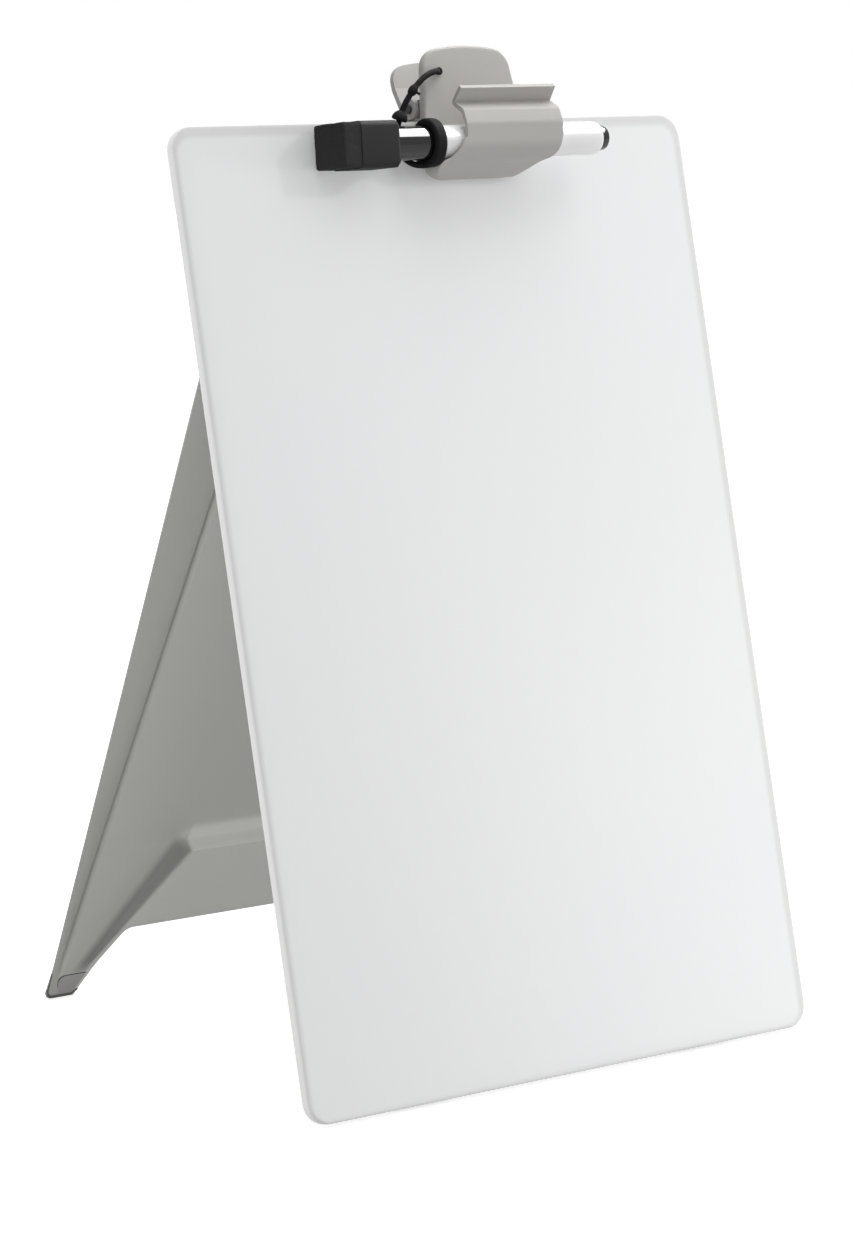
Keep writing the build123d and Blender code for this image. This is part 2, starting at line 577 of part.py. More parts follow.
def main():
    os.makedirs("parts", exist_ok=True)
    pieces = nodes()
    for name, piece in pieces.items():
        export_step(piece, f"parts/{name}.step")
    strap_nodes = {"tether", "tether_anchor", "tether_bead_upper", "tether_bead_lower", "tether_ring"}
    boxes = [piece.bounding_box() for name, piece in pieces.items() if name not in strap_nodes]
    front, back = min(box.min.Y for box in boxes), max(box.max.Y for box in boxes)
    print("footprint", round(front, 3), round(back, 3), "lowest", round(min(box.min.Z for box in boxes), 3))
    print("hinge axis", 0, round(HINGE_Y - FRONT_REACH, 3), round(HINGE_Z, 3), "fold", BOARD_TILT + LEG_ANGLE)
    print("leg foot", round(FOOT_Y - FRONT_REACH, 3), "buffers", round(buffer_depth(), 3))


main()
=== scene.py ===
from math import cos, pi, radians, sin, tan

import bmesh
import bpy
from mathutils import Matrix, Vector, noise


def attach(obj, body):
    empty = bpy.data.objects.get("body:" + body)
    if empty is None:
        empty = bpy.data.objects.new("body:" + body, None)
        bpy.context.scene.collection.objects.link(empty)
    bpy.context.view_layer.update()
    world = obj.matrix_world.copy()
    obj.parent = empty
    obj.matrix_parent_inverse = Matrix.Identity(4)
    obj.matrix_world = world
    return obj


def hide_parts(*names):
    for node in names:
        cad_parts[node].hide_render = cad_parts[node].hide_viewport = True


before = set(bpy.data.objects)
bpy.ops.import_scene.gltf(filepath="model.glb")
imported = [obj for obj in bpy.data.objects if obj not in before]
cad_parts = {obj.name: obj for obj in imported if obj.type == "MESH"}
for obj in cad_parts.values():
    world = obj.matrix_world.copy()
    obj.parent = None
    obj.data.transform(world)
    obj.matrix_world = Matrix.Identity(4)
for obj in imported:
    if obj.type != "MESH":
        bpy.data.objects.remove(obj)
scene = bpy.context.scene
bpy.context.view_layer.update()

# %% [markdown]
# ## Two upright workplaces
# Both halves of the easel lean, and leaning shapes are awkward to model. So each piece is made upright, in
# millimetres, and one matrix then leans it into place and scales it to metres. On the upright board, X runs
# to the right of its centre line, Y runs back from the front of the glass and Z runs up from its lower
# edge.
# %% Places and matrices
BOARD_TILT, LEG_LEAN = radians(14.6), radians(17.7)
FRONT_REACH, GLASS_LIFT, FOOT_BACK = 97.985, 1.6, 94.608
TOP = 340.0
LEG_AXIS = 323.14
MM = Matrix.Scale(0.001, 4)
BOARD_PLACE = MM @ Matrix.Translation((0, -FRONT_REACH, GLASS_LIFT)) @ Matrix.Rotation(-BOARD_TILT, 4, "X")
LEG_PLACE = MM @ Matrix.Translation((0, FOOT_BACK, 0)) @ Matrix.Rotation(LEG_LEAN, 4, "X")
MARKER_FORWARD, MARKER_DROP = 11.3, 10.1
MARKER_PLACE = BOARD_PLACE @ Matrix.Translation((0, -MARKER_FORWARD, TOP - MARKER_DROP))
print("board top edge at", [round(v, 4) for v in BOARD_PLACE @ Vector((0, 0, TOP))])

# %% [markdown]
# ## The camera comes first
# The viewpoint decides which details matter, so it is set before anything is made. A long lens, far away,
# keeps the board's sides nearly parallel. The camera's three axes are written down as directions, which
# fixes its turn, its tilt and its slight roll together.
# %% Camera
camera_data = bpy.data.cameras.new("studio_camera")
camera = bpy.data.objects.new("studio_camera", camera_data)
scene.collection.objects.link(camera)
scene.camera = camera
CAMERA_PLACE = (-0.768845, -1.08811, 0.384643)
CAMERA_AHEAD, CAMERA_RIGHT = (0.569655, 0.800045, -0.188205), (0.815128, -0.579261, 0.004815)
LENS_MM, SENSOR_MM, SHIFT_UP = 107.5, 36.0, 0.0440
ahead = Vector(CAMERA_AHEAD).normalized()
right = Vector(CAMERA_RIGHT)
right = (right - ahead * right.dot(ahead)).normalized()
above = right.cross(ahead)
turned = Matrix((right, above, -ahead)).transposed().to_4x4()
camera.matrix_world = Matrix.Translation(CAMERA_PLACE) @ turned
camera_data.sensor_fit = "VERTICAL"
camera_data.sensor_height = SENSOR_MM
camera_data.lens = LENS_MM
camera_data.shift_y = SHIFT_UP
camera_data.clip_end = 20.0
print("lens", camera_data.lens, "mm")

# %% [markdown]
# ## Small helpers for node trees
# A material is a tree of nodes, and most of a script for it would be the same three steps: add a node, set
# its inputs, link its output. These helpers do the three in one call, so that a material below reads like a
# sum.
# %% Node helpers
def link_chain(tree, value, socket):
    """Puts a number, a colour or another node's output on a socket."""
    if isinstance(value, bpy.types.NodeSocket):
        tree.links.new(value, socket)
    else:
        socket.default_value = value


def add_node(tree, kind, operation=None, **inputs):
    """Adds a shader node; an input is named, or numbered as i0, i1, and so on."""
    node = tree.nodes.new(kind)
    if operation:
        node.operation = operation
    for name, value in inputs.items():
        key = int(name[1:]) if name[0] == "i" and name[1:].isdigit() else name.replace("_", " ")
        link_chain(tree, value, node.inputs[key])
    return node


def maths(tree, operation, *values, clamp=False):
    """One step of arithmetic, as the socket that holds its result."""
    node = add_node(tree, "ShaderNodeMath", operation, **{f"i{n}": v for n, v in enumerate(values)})
    node.use_clamp = clamp
    return node.outputs[0]


def mix_colour(tree, factor, first, second, blend="MIX"):
    """Two colours mixed, as the socket that holds the result."""
    node = tree.nodes.new("ShaderNodeMix")
    node.data_type, node.blend_type = "RGBA", blend
    for socket, value in ((node.inputs[0], factor), (node.inputs[6], first), (node.inputs[7], second)):
        link_chain(tree, value, socket)
    return node.outputs[2]


def smooth_step(tree, value, low, high, first, last):
    """Goes from first to last in a smooth S while the value goes from low to high."""
    step = add_node(tree, "ShaderNodeMapRange", Value=value, From_Min=low, From_Max=high, To_Min=first,
                    To_Max=last)
    step.interpolation_type = "SMOOTHSTEP"
    return step.outputs[0]


def grey(level, warmth=0.0):
    """A linear colour from a level, a little warmer or cooler."""
    return (level * (1 + warmth), level, level * (1 - warmth), 1.0)


# %% [markdown]
# ## A white studio
# Products like this are shown on white with large soft lamps. The floor and the world look white to the
# camera and in reflections, but give only ordinary light, so the pale glass does not burn out. That light
# is stronger from above and from the right than from the left, which gives every rounded form a light side
# and a dark side.
# %% World
FILL_LEVEL, FILL_RIGHT, FILL_UP = 0.51, 0.38, 0.36


def seen_rays(tree):
    """1 for rays from the eye, from a mirror or through glass, which should meet white, and 0 for light."""
    path = tree.nodes.new("ShaderNodeLightPath")
    seen = maths(tree, "MAXIMUM", path.outputs["Is Camera Ray"], path.outputs["Is Glossy Ray"])
    return maths(tree, "MAXIMUM", seen, path.outputs["Is Transmission Ray"])


world = bpy.data.worlds.new("white_studio")
scene.world = world
world.use_nodes = True
tree = world.node_tree
tree.nodes.clear()
way = tree.nodes.new("ShaderNodeTexCoord")
apart = add_node(tree, "ShaderNodeSeparateXYZ", Vector=way.outputs["Generated"])
fill = maths(tree, "MULTIPLY_ADD", apart.outputs[0], FILL_RIGHT, FILL_LEVEL)
fill = maths(tree, "MULTIPLY_ADD", apart.outputs[2], FILL_UP, fill)
strength = add_node(tree, "ShaderNodeMapRange", Value=seen_rays(tree), To_Min=fill, To_Max=1.0)
background = add_node(tree, "ShaderNodeBackground", Color=grey(1.0), Strength=strength.outputs[0])
output = tree.nodes.new("ShaderNodeOutputWorld")
tree.links.new(background.outputs[0], output.inputs[0])
print("world nodes:", len(tree.nodes))

# %% Floor
FLOOR_HALF, FLOOR_LEVEL, FLOOR_GLOW = 4.0, 0.62, 0.74
bm = bmesh.new()
bmesh.ops.create_grid(bm, x_segments=1, y_segments=1, size=FLOOR_HALF)
floor_mesh = bpy.data.meshes.new("studio_floor")
bm.to_mesh(floor_mesh)
bm.free()
floor = bpy.data.objects.new("studio_floor", floor_mesh)
scene.collection.objects.link(floor)
paper = bpy.data.materials.new("white_paper_floor")
paper.use_nodes = True
tree = paper.node_tree
tree.nodes.clear()
matte = add_node(tree, "ShaderNodeBsdfDiffuse", Color=grey(FLOOR_LEVEL))
glow_level = maths(tree, "MULTIPLY", seen_rays(tree), FLOOR_GLOW)
glow = add_node(tree, "ShaderNodeEmission", Color=grey(1.0), Strength=glow_level)
both = tree.nodes.new("ShaderNodeAddShader")
tree.links.new(matte.outputs[0], both.inputs[0])
tree.links.new(glow.outputs[0], both.inputs[1])
output = tree.nodes.new("ShaderNodeOutputMaterial")
tree.links.new(both.outputs[0], output.inputs[0])
floor_mesh.materials.append(paper)
print("floor", FLOOR_HALF * 2, "m wide")

# %% [markdown]
# ## Soft lamps
# A broad lamp gives soft shadows, and light linking lets a lamp reach some pieces and not others, as a
# studio's cards and flags do. The lamps themselves are placed last, once every piece is there to be
# named.
# %% Lamp helpers
def soft_lamp(name, place, aim, size, power):
    """A round lamp that shines from one place towards another, in metres and watts."""
    data = bpy.data.lights.new(name, "AREA")
    data.shape, data.size, data.energy = "DISK", size, power
    lamp = bpy.data.objects.new(name, data)
    scene.collection.objects.link(lamp)
    lamp.location = place
    lamp.rotation_euler = (Vector(aim) - Vector(place)).to_track_quat("-Z", "Y").to_euler()
    return lamp


def linked_lamp(name, place, aim, size, power, lit, blockers=None):
    """A soft lamp that lights some pieces only. Its shadow is cast by the blockers, or by every piece."""
    lamp = soft_lamp(name, place, aim, size, power)
    for role, pieces in (("receiver_collection", lit), ("blocker_collection", blockers)):
        if pieces:
            group = bpy.data.collections.new(f"{name}_{role}")
            for piece in pieces:
                group.objects.link(piece)
            setattr(lamp.light_linking, role, group)
    lamp.visible_glossy = False
    return lamp


scene.view_settings.view_transform = "Standard"
print("view transform:", scene.view_settings.view_transform)

# %% [markdown]
# ## Finishes shared by several pieces
# Moulded plastic, rubber and felt are never one flat colour. A fine grain breaks the highlight and a broad,
# very faint cloud changes the tone. This effect is built once, as a node group with named inputs, and each
# finish places it with its own scale and strength.
# %% The grain group
CLOUD_PER_METRE, ROUGHNESS_SWING, FINE_SHARE = 14.0, 0.08, 0.35


GROUP_INPUTS = (("Color", "Color", (0.5, 0.5, 0.5, 1)), ("Tone variation", "Float", 0.06),
                ("Roughness", "Float", 0.5), ("Roughness variation", "Float", ROUGHNESS_SWING),
                ("Grain per metre", "Float", 2500.0), ("Cloud per metre", "Float", CLOUD_PER_METRE),
                ("Stretch", "Vector", (1, 1, 1)))
GROUP_OUTPUTS = (("Color", "Color"), ("Roughness", "Float"), ("Height", "Float"))


def make_grain_group():
    """Fine grain and broad cloudiness: gives a colour, a roughness and a height."""
    group = bpy.data.node_groups.new("Surface grain", "ShaderNodeTree")
    for name, kind, default in GROUP_INPUTS:
        item = group.interface.new_socket(name, in_out="INPUT", socket_type="NodeSocket" + kind)
        item.default_value = default
    for name, kind in GROUP_OUTPUTS:
        group.interface.new_socket(name, in_out="OUTPUT", socket_type="NodeSocket" + kind)
    given = group.nodes.new("NodeGroupInput")
    spot = group.nodes.new("ShaderNodeTexCoord").outputs["Object"]
    per_metre, cloud_per_metre = given.outputs["Grain per metre"], given.outputs["Cloud per metre"]
    along = add_node(group, "ShaderNodeVectorMath", "MULTIPLY", i0=spot, i1=given.outputs["Stretch"])
    fine = add_node(group, "ShaderNodeTexNoise", Vector=along.outputs[0], Scale=per_metre, Detail=3.0)
    cloud = add_node(group, "ShaderNodeTexNoise", Vector=spot, Scale=cloud_per_metre, Detail=4.0)
    broad = maths(group, "MULTIPLY", cloud.outputs[0], 1 - FINE_SHARE)
    blend = maths(group, "MULTIPLY_ADD", fine.outputs[0], FINE_SHARE, broad)
    shift = maths(group, "SUBTRACT", blend, 0.5)
    tone_swing = maths(group, "MULTIPLY", given.outputs["Tone variation"], 2.0)
    tone = maths(group, "MULTIPLY_ADD", shift, tone_swing, 1.0)
    shade = add_node(group, "ShaderNodeCombineColor", Red=tone, Green=tone, Blue=tone)
    colour = mix_colour(group, 1.0, given.outputs["Color"], shade.outputs[0], "MULTIPLY")
    rough_swing = maths(group, "MULTIPLY", given.outputs["Roughness variation"], 2.0)
    rough = maths(group, "MULTIPLY_ADD", shift, rough_swing, given.outputs["Roughness"], clamp=True)
    result = group.nodes.new("NodeGroupOutput")
    group.links.new(colour, result.inputs["Color"])
    group.links.new(rough, result.inputs["Roughness"])
    group.links.new(fine.outputs[0], result.inputs["Height"])
    return group


GRAIN = make_grain_group()
print("grain group nodes:", len(GRAIN.nodes))


# %% A finish on the grain group
def grain_finish(name, colour, roughness, tone=0.06, bump=0.00002, per_metre=2500.0, stretch=(1, 1, 1),
                 metallic=0.0, specular=0.5, coat=0.0, coat_roughness=0.05):
    """A material on the grain group; bump is its relief in metres."""
    material = bpy.data.materials.new(name)
    material.use_nodes = True
    tree = material.node_tree
    shader = tree.nodes["Principled BSDF"]
    grain = tree.nodes.new("ShaderNodeGroup")
    grain.node_tree = GRAIN
    values = {"Color": colour, "Tone variation": tone, "Roughness": roughness, "Grain per metre": per_metre,
              "Stretch": stretch}
    for key, value in values.items():
        grain.inputs[key].default_value = value
    tree.links.new(grain.outputs["Color"], shader.inputs["Base Color"])
    tree.links.new(grain.outputs["Roughness"], shader.inputs["Roughness"])
    relief = add_node(tree, "ShaderNodeBump", Height=grain.outputs["Height"], Distance=bump, Strength=1.0)
    tree.links.new(relief.outputs[0], shader.inputs["Normal"])
    shader.inputs["Metallic"].default_value = metallic
    shader.inputs["Specular IOR Level"].default_value = specular
    shader.inputs["Coat Weight"].default_value = coat
    shader.inputs["Coat Roughness"].default_value = coat_roughness
    return material


# %% [markdown]
# ## The list of finishes
# The leg and the clip are one warm grey plastic with a fine satin texture. The strap and the ring are soft
# black rubber, the cap is glossy black and the barrel glossy white. Steel parts carry stretched grain, as
# turned or drawn metal does.
# %% Plain finishes
FINISH = {
    "grey_plastic": grain_finish("grey_satin_plastic", grey(0.47, 0.022), 0.52, tone=0.035, bump=0.00001,
                                 specular=0.3),
    "clip_plastic": grain_finish("clip_satin_plastic", grey(0.475, 0.032), 0.6, tone=0.03, bump=0.000008,
                                 specular=0.06),
    "steel_coating": grain_finish("coated_steel", grey(0.82), 0.42, tone=0.04, bump=0.00001),
    "foam": grain_finish("foam_tape", grey(0.05), 0.9, tone=0.3, bump=0.0001, per_metre=4000.0),
    "pin_steel": grain_finish("turned_steel", grey(0.55), 0.28, per_metre=900.0, stretch=(12, 1, 1),
                              metallic=1.0),
    "dark_steel": grain_finish("blackened_steel", grey(0.03), 0.5, specular=0.2),
    "spring_steel": grain_finish("drawn_wire", grey(0.5), 0.25, metallic=1.0),
    "dark_rubber": grain_finish("dark_grey_rubber", grey(0.06), 0.72, tone=0.15, bump=0.00003),
    "tip_rubber": grain_finish("tip_rubber", grey(0.40, 0.02), 0.62, specular=0.2),
    "tip_rim": grain_finish("tip_rim_rubber", grey(0.14, 0.01), 0.6, specular=0.2),
    "seam": grain_finish("seam_shadow", grey(0.02), 0.8, specular=0.1),
    "grip_rubber": grain_finish("grip_rubber", grey(0.09), 0.75, tone=0.15, bump=0.00003),
    "strap_rubber": grain_finish("strap_rubber", grey(0.020), 0.7, tone=0.15, specular=0.02),
    "white_plastic": grain_finish("white_barrel", grey(0.90), 0.30, tone=0.015, bump=0.000002, coat=0.5,
                                  coat_roughness=0.22),
    "black_plastic": grain_finish("black_gloss", grey(0.006), 0.10, tone=0.1, bump=0.000002, specular=0.4),
    "holder_plastic": grain_finish("holder_satin", grey(0.036), 0.6, tone=0.1, bump=0.00003, per_metre=1500.0,
                                   specular=0.03),
    "nib_fibre": grain_finish("nib_fibre", grey(0.02), 0.9, tone=0.3, per_metre=5000.0, stretch=(0.1, 1, 1)),
    "wick": grain_finish("wick_fibre", grey(0.1), 0.9, tone=0.3, per_metre=4000.0, stretch=(0.1, 1, 1)),
    "seal": grain_finish("cap_seal", grey(0.5), 0.5),
    "felt": grain_finish("eraser_felt", grey(0.044), 1.0, tone=0.35, bump=0.00025, per_metre=1800.0,
                         specular=0.02),
}
print("finishes:", len(FINISH))

# %% [markdown]
# ## Helpers that finish a piece
# A piece is built in a bmesh. Its doubles are merged, its faces are turned outwards, and its place is put
# into its vertices, so that the object itself stays at the origin. Edges that real moulds and cutters leave
# rounded get a Bevel modifier, because a sharp edge catches no light.
# %% Finishing helpers
WELD, BEVEL_STEPS = 1e-4, 3


def put_in_scene(bm, name, place, finish, body, replaced=(), edge=0.0, sharp=35.0, outward=True):
    """Turns a finished bmesh into a piece of the scene; edge is a bevel width in millimetres."""
    if outward:
        bmesh.ops.remove_doubles(bm, verts=bm.verts, dist=WELD)
        bmesh.ops.recalc_face_normals(bm, faces=bm.faces)
    bmesh.ops.transform(bm, matrix=place, verts=bm.verts)
    mesh = bpy.data.meshes.new(name)
    bm.to_mesh(mesh)
    bm.free()
    mesh.shade_smooth()
    mesh.set_sharp_from_angle(angle=radians(sharp))
    piece = bpy.data.objects.new(name, mesh)
    scene.collection.objects.link(piece)
    mesh.materials.append(FINISH[finish])
    if edge:
        soften(piece, edge)
    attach(piece, body)
    if replaced:
        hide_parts(*replaced)
    return piece


def soften(piece, width, angle=30.0):
    """A Bevel modifier, its width in millimetres, on the edges that turn by more than the angle."""
    bevel = piece.modifiers.new("soft_edges", "BEVEL")
    bevel.width, bevel.segments = width * 0.001, BEVEL_STEPS
    bevel.limit_method, bevel.angle_limit = "ANGLE", radians(angle)
    bevel.miter_outer = "MITER_ARC"
    bevel.harden_normals = True


def merged_copy(node):
    """A welded copy of an engineered solid with its flat faces joined up, still in metres."""
    bm = bmesh.new()
    bm.from_mesh(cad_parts[node].data)
    bmesh.ops.remove_doubles(bm, verts=bm.verts, dist=1e-6)
    bmesh.ops.dissolve_limit(bm, angle_limit=radians(0.4), verts=bm.verts, edges=bm.edges)
    return bm


def softened_node(node, finish, body, edge):
    """Stands for a solid whose shape is right and only its edges are too sharp."""
    return put_in_scene(merged_copy(node), node + "_finished", Matrix(), finish, body, (node,), edge=edge,
                        sharp=30.0, outward=False)


def keep_node(node, finish):
    """Gives an engineered solid that is already right its finish."""
    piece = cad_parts[node]
    piece.data.materials.clear()
    piece.data.materials.append(FINISH[finish])


# %% Bmesh helpers
def outline_face(bm, points):
    """One flat upright face from corner points of X and Z."""
    bm.faces.new([bm.verts.new((x, 0, z)) for x, z in points])


def round_corners(bm, verts, radius, segments):
    """Rounds the corners of a flat face."""
    bmesh.ops.bevel(bm, geom=verts, offset=radius, offset_type="OFFSET", segments=segments, profile=0.5,
                    affect="VERTICES", material=-1)


def round_edges(bm, edges, radius, segments):
    """Rounds edges; one segment makes a chamfer."""
    bmesh.ops.bevel(bm, geom=edges, offset=radius, offset_type="OFFSET", segments=segments, profile=0.5,
                    affect="EDGES", material=-1, clamp_overlap=True)


def pull(bm, faces, way):
    """Extrudes faces by a vector and returns the new vertices."""
    made = bmesh.ops.extrude_face_region(bm, geom=faces)
    verts = [v for v in made["geom"] if isinstance(v, bmesh.types.BMVert)]
    bmesh.ops.translate(bm, verts=verts, vec=way)
    return verts


def lathe(bm, profile, segments, hollow=False):
    """Spins (x, radius) points about the X axis; a hollow profile joins its last point to its first."""
    verts = [bm.verts.new((x, 0, r)) for x, r in profile]
    edges = [bm.edges.new(pair) for pair in zip(verts, verts[1:])]
    if hollow:
        edges.append(bm.edges.new((verts[-1], verts[0])))
    bmesh.ops.spin(bm, geom=verts + edges, cent=(0, 0, 0), axis=(1, 0, 0), angle=2 * pi, steps=segments,
                   use_merge=True)
    bmesh.ops.remove_doubles(bm, verts=bm.verts, dist=WELD)
    bmesh.ops.recalc_face_normals(bm, faces=bm.faces)


# %% [markdown]
# ## The strap
# A soft rubber strap runs from an eye in the clip to the ring on the marker. It is one smooth line, so it
# is a NURBS curve with a round bevel rather than a row of bent pieces.
# %% Strap
STRAP_ROUTE = [(0.3, -5.2, 16.4), (-2.4, -8.3, 16.1), (-8.0, -9.2, 14.2), (-12.0, -8.6, 11.0),
               (-14.9, -7.2, 7.4), (-16.9, -5.6, 3.9), (-19.2, -3.2, -2.6), (-19.8, -2.7, -9.2),
               (-18.9, -4.4, -14.4), (-16.2, -8.0, -17.8), (-12.6, -10.0, -17.6)]
STRAP_D = 0.0021


def strap_line():
    """The middle line of the strap as a curve, in metres."""
    data = bpy.data.curves.new("strap", "CURVE")
    data.dimensions = "3D"
    spline = data.splines.new("NURBS")
    spline.points.add(len(STRAP_ROUTE) - 1)
    for point, (x, y, z) in zip(spline.points, STRAP_ROUTE):
        point.co = (*(BOARD_PLACE @ Vector((x, y, TOP + z))), 1.0)
    spline.order_u = 3
    spline.use_endpoint_u = True
    spline.resolution_u = 16
    data.resolution_u = 16
    return data


strap_data = strap_line()
strap_data.bevel_depth = STRAP_D / 2
strap_data.bevel_resolution = 6
strap_data.use_fill_caps = True
strap = bpy.data.objects.new("strap", strap_data)
scene.collection.objects.link(strap)
strap_data.materials.append(FINISH["strap_rubber"])
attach(strap, "clip_front")
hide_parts("tether")
print("strap points:", len(STRAP_ROUTE))

# %% [markdown]
# ## The glass
# The board is toughened glass, painted white behind, with its edges ground to a soft round. The material
# paints a darker grey line round the board, as painted shade for the white seen through the ground rim,
# shifted a little right and up as the rim looks from one side. The slab is one face, pulled back to the
# thickness of the glass, with its corners and then its rims bevelled.
# %% Glass finish
GLASS_W, GLASS_H, GLASS_T, GLASS_R = 220.0, TOP, 4.0, 8.3
RIM_NEAR, RIM_FAR, RIM_VIEW_SHIFT_RIGHT, RIM_VIEW_SHIFT_UP = 0.0014, 0.0036, 0.0008, 0.0012


def upright_spot(tree, origin, turn, scale=1.0):
    """Object coordinates turned back to upright about X, as the sockets of X, Y and Z."""
    upright = tree.nodes.new("ShaderNodeMapping")
    upright.vector_type = "TEXTURE"
    upright.inputs["Location"].default_value = origin
    upright.inputs["Rotation"].default_value = (turn, 0, 0)
    upright.inputs["Scale"].default_value = (scale, scale, scale)
    tree.links.new(tree.nodes.new("ShaderNodeTexCoord").outputs["Object"], upright.inputs["Vector"])
    return add_node(tree, "ShaderNodeSeparateXYZ", Vector=upright.outputs[0]).outputs


def outline_depth(tree, x, z):
    """How far a spot lies inside the rounded outline of the glass, in metres."""
    inset = 0.001 * GLASS_R
    across = maths(tree, "SUBTRACT", maths(tree, "ABSOLUTE", x), 0.0005 * GLASS_W - inset)
    up = maths(tree, "SUBTRACT", maths(tree, "ABSOLUTE", z), 0.0005 * GLASS_H - inset)
    out_x, out_z = maths(tree, "MAXIMUM", across, 0.0), maths(tree, "MAXIMUM", up, 0.0)
    squares = maths(tree, "ADD", maths(tree, "POWER", out_x, 2.0), maths(tree, "POWER", out_z, 2.0))
    reach = maths(tree, "SQRT", squares)
    inside = maths(tree, "MINIMUM", maths(tree, "MAXIMUM", across, up), 0.0)
    return maths(tree, "SUBTRACT", inset, maths(tree, "ADD", reach, inside))


def glass_material():
    """White painted glass with a darker rim at the ground edge, which is painted shade, set off right and up.
    """
    material = bpy.data.materials.new("white_backed_glass")
    material.use_nodes = True
    tree = material.node_tree
    shader = tree.nodes["Principled BSDF"]
    x, _, z = upright_spot(tree, BOARD_PLACE @ Vector((0, 0, GLASS_H / 2)), -BOARD_TILT)
    # Painted shade: the rim's outline is shifted right and up, to where the ground edge shows from one side.
    paint = outline_depth(tree, maths(tree, "ADD", x, RIM_VIEW_SHIFT_RIGHT), maths(tree, "ADD", z, RIM_VIEW_SHIFT_UP))
    rim = smooth_step(tree, paint, RIM_NEAR, RIM_FAR, 1.0, 0.0)
    spot = tree.nodes.new("ShaderNodeTexCoord").outputs["Object"]
    haze = add_node(tree, "ShaderNodeTexNoise", Vector=spot, Scale=9.0, Detail=3.0)
    painted = mix_colour(tree, haze.outputs[0], grey(0.745), (0.722, 0.727, 0.739, 1.0))
    colour = mix_colour(tree, rim, painted, (0.63, 0.635, 0.63, 1.0))
    tree.links.new(colour, shader.inputs["Base Color"])
    rough = add_node(tree, "ShaderNodeMapRange", Value=haze.outputs[0], To_Min=0.10, To_Max=0.17)
    tree.links.new(rough.outputs[0], shader.inputs["Roughness"])
    shader.inputs["Coat Weight"].default_value = 0.3
    shader.inputs["Coat Roughness"].default_value = 0.04
    return material


FINISH["glass"] = glass_material()
print("glass finish nodes:", len(FINISH["glass"].node_tree.nodes))

# %% Glass slab
FRONT_RIM, BACK_RIM = 1.0, 0.5
bm = bmesh.new()
side_x = GLASS_W / 2
outline_face(bm, [(-side_x, 0), (side_x, 0), (side_x, GLASS_H), (-side_x, GLASS_H)])
round_corners(bm, bm.verts[:], GLASS_R, 12)
pull(bm, bm.faces[:], (0, GLASS_T, 0))
front_rim = [e for e in bm.edges if all(v.co.y < 0.001 for v in e.verts)]
back_rim = [e for e in bm.edges if all(v.co.y > GLASS_T - 0.001 for v in e.verts)]
round_edges(bm, front_rim, FRONT_RIM, 5)
round_edges(bm, back_rim, BACK_RIM, 3)
glass = put_in_scene(bm, "writing_glass", BOARD_PLACE, "glass", "board", ("glass_panel",), sharp=25)
print("glass faces", len(glass.data.polygons))

# %% [markdown]
# ## The leg
# The leg is one grey moulding: a flat middle with a narrow facet folded forward on each side, a groove in
# each fold, an arch between the feet and a raised wedge over the arch. It starts as one flat outline. The
# sheet is scored along the folds and round the wedge, so that there are edges where the surface has to
# bend, and is then given its thickness. Last, each vertex is moved by a short rule for the height of the
# surface.
# %% Leg rules
LEG_T, ARCH_TOP, ARCH_HALF = 3.0, 28.0, 73.0
WEDGE_LOW, WEDGE_TOP, WEDGE_RISE = 12.0, 62.8, 8.4
WEDGE_HALF_TOP, WEDGE_HALF_LOW, WEDGE_HALF_LEVEL = 54.5, 86.0, 14.0
WEDGE_SLOPE = (WEDGE_HALF_LOW - WEDGE_HALF_TOP) / (WEDGE_TOP - WEDGE_HALF_LEVEL)
WEDGE_SINE = 1 / (1 + WEDGE_SLOPE**2) ** 0.5
EDGE_HALF, EDGE_TAPER, EDGE_SLANT = 103.0, 0.0795, 2.2
FOLD_HALF, FOLD_TAPER, FACET_SLOPE = 99.6, 0.170, tan(radians(9.0))
GROOVE_DEEP, GROOVE_HALF, FOOT_SHARE = 1.7, 2.0, 0.22


def fold_half(up):
    """Half the leg's width between its folds at a height."""
    return FOLD_HALF - FOLD_TAPER * up


def edge_half(up):
    """Half the leg's whole width at a height."""
    return EDGE_HALF - EDGE_TAPER * up


def wedge_half(up):
    """Half the wedge's width at a height."""
    return WEDGE_HALF_TOP + WEDGE_SLOPE * (WEDGE_TOP - up)


def ease(value, low, high):
    """0 below low, 1 above high and a smooth S between."""
    t = min(1.0, max(0.0, (value - low) / (high - low)))
    return t * t * (3 - 2 * t)


def facet_rise(x, up):
    """How far the folded facet stands forward of the flat middle, in millimetres."""
    return max(0.0, abs(x) - fold_half(up)) * FACET_SLOPE


def wall_share(inward):
    """The share of the wedge's height reached this far inside its edge: a shallow foot, then a steep wall."""
    return FOOT_SHARE * ease(inward, -4.5, -0.4) + (1 - FOOT_SHARE) * ease(inward, -0.9, 1.3)


def moulded_rise(x, up):
    """How far the wedge stands forward of the leg's face, less the groove in the fold."""
    side = wall_share((wedge_half(up) - abs(x)) * WEDGE_SINE)
    over = wall_share(WEDGE_TOP - up)
    body = WEDGE_RISE * max(0.0, (up - WEDGE_LOW) / (WEDGE_TOP - WEDGE_LOW))
    groove = GROOVE_DEEP * (1 - ease(abs(abs(x) - fold_half(up)), 0.2, GROOVE_HALF)) * ease(up, 8.0, 22.0)
    return min(body, WEDGE_RISE) * side * over - groove


def score(bm, point, normal, where=None):
    """Cuts the faces whose middle passes a test, or all faces, along a plane."""
    faces = [f for f in bm.faces if where is None or where(f.calc_center_median())]
    geom = list({v for f in faces for v in f.verts}) + list({e for f in faces for e in f.edges}) + faces
    bmesh.ops.bisect_plane(bm, geom=geom, dist=1e-5, plane_co=point, plane_no=normal)


print("wedge wall leans out by", round(WEDGE_SLOPE, 3))

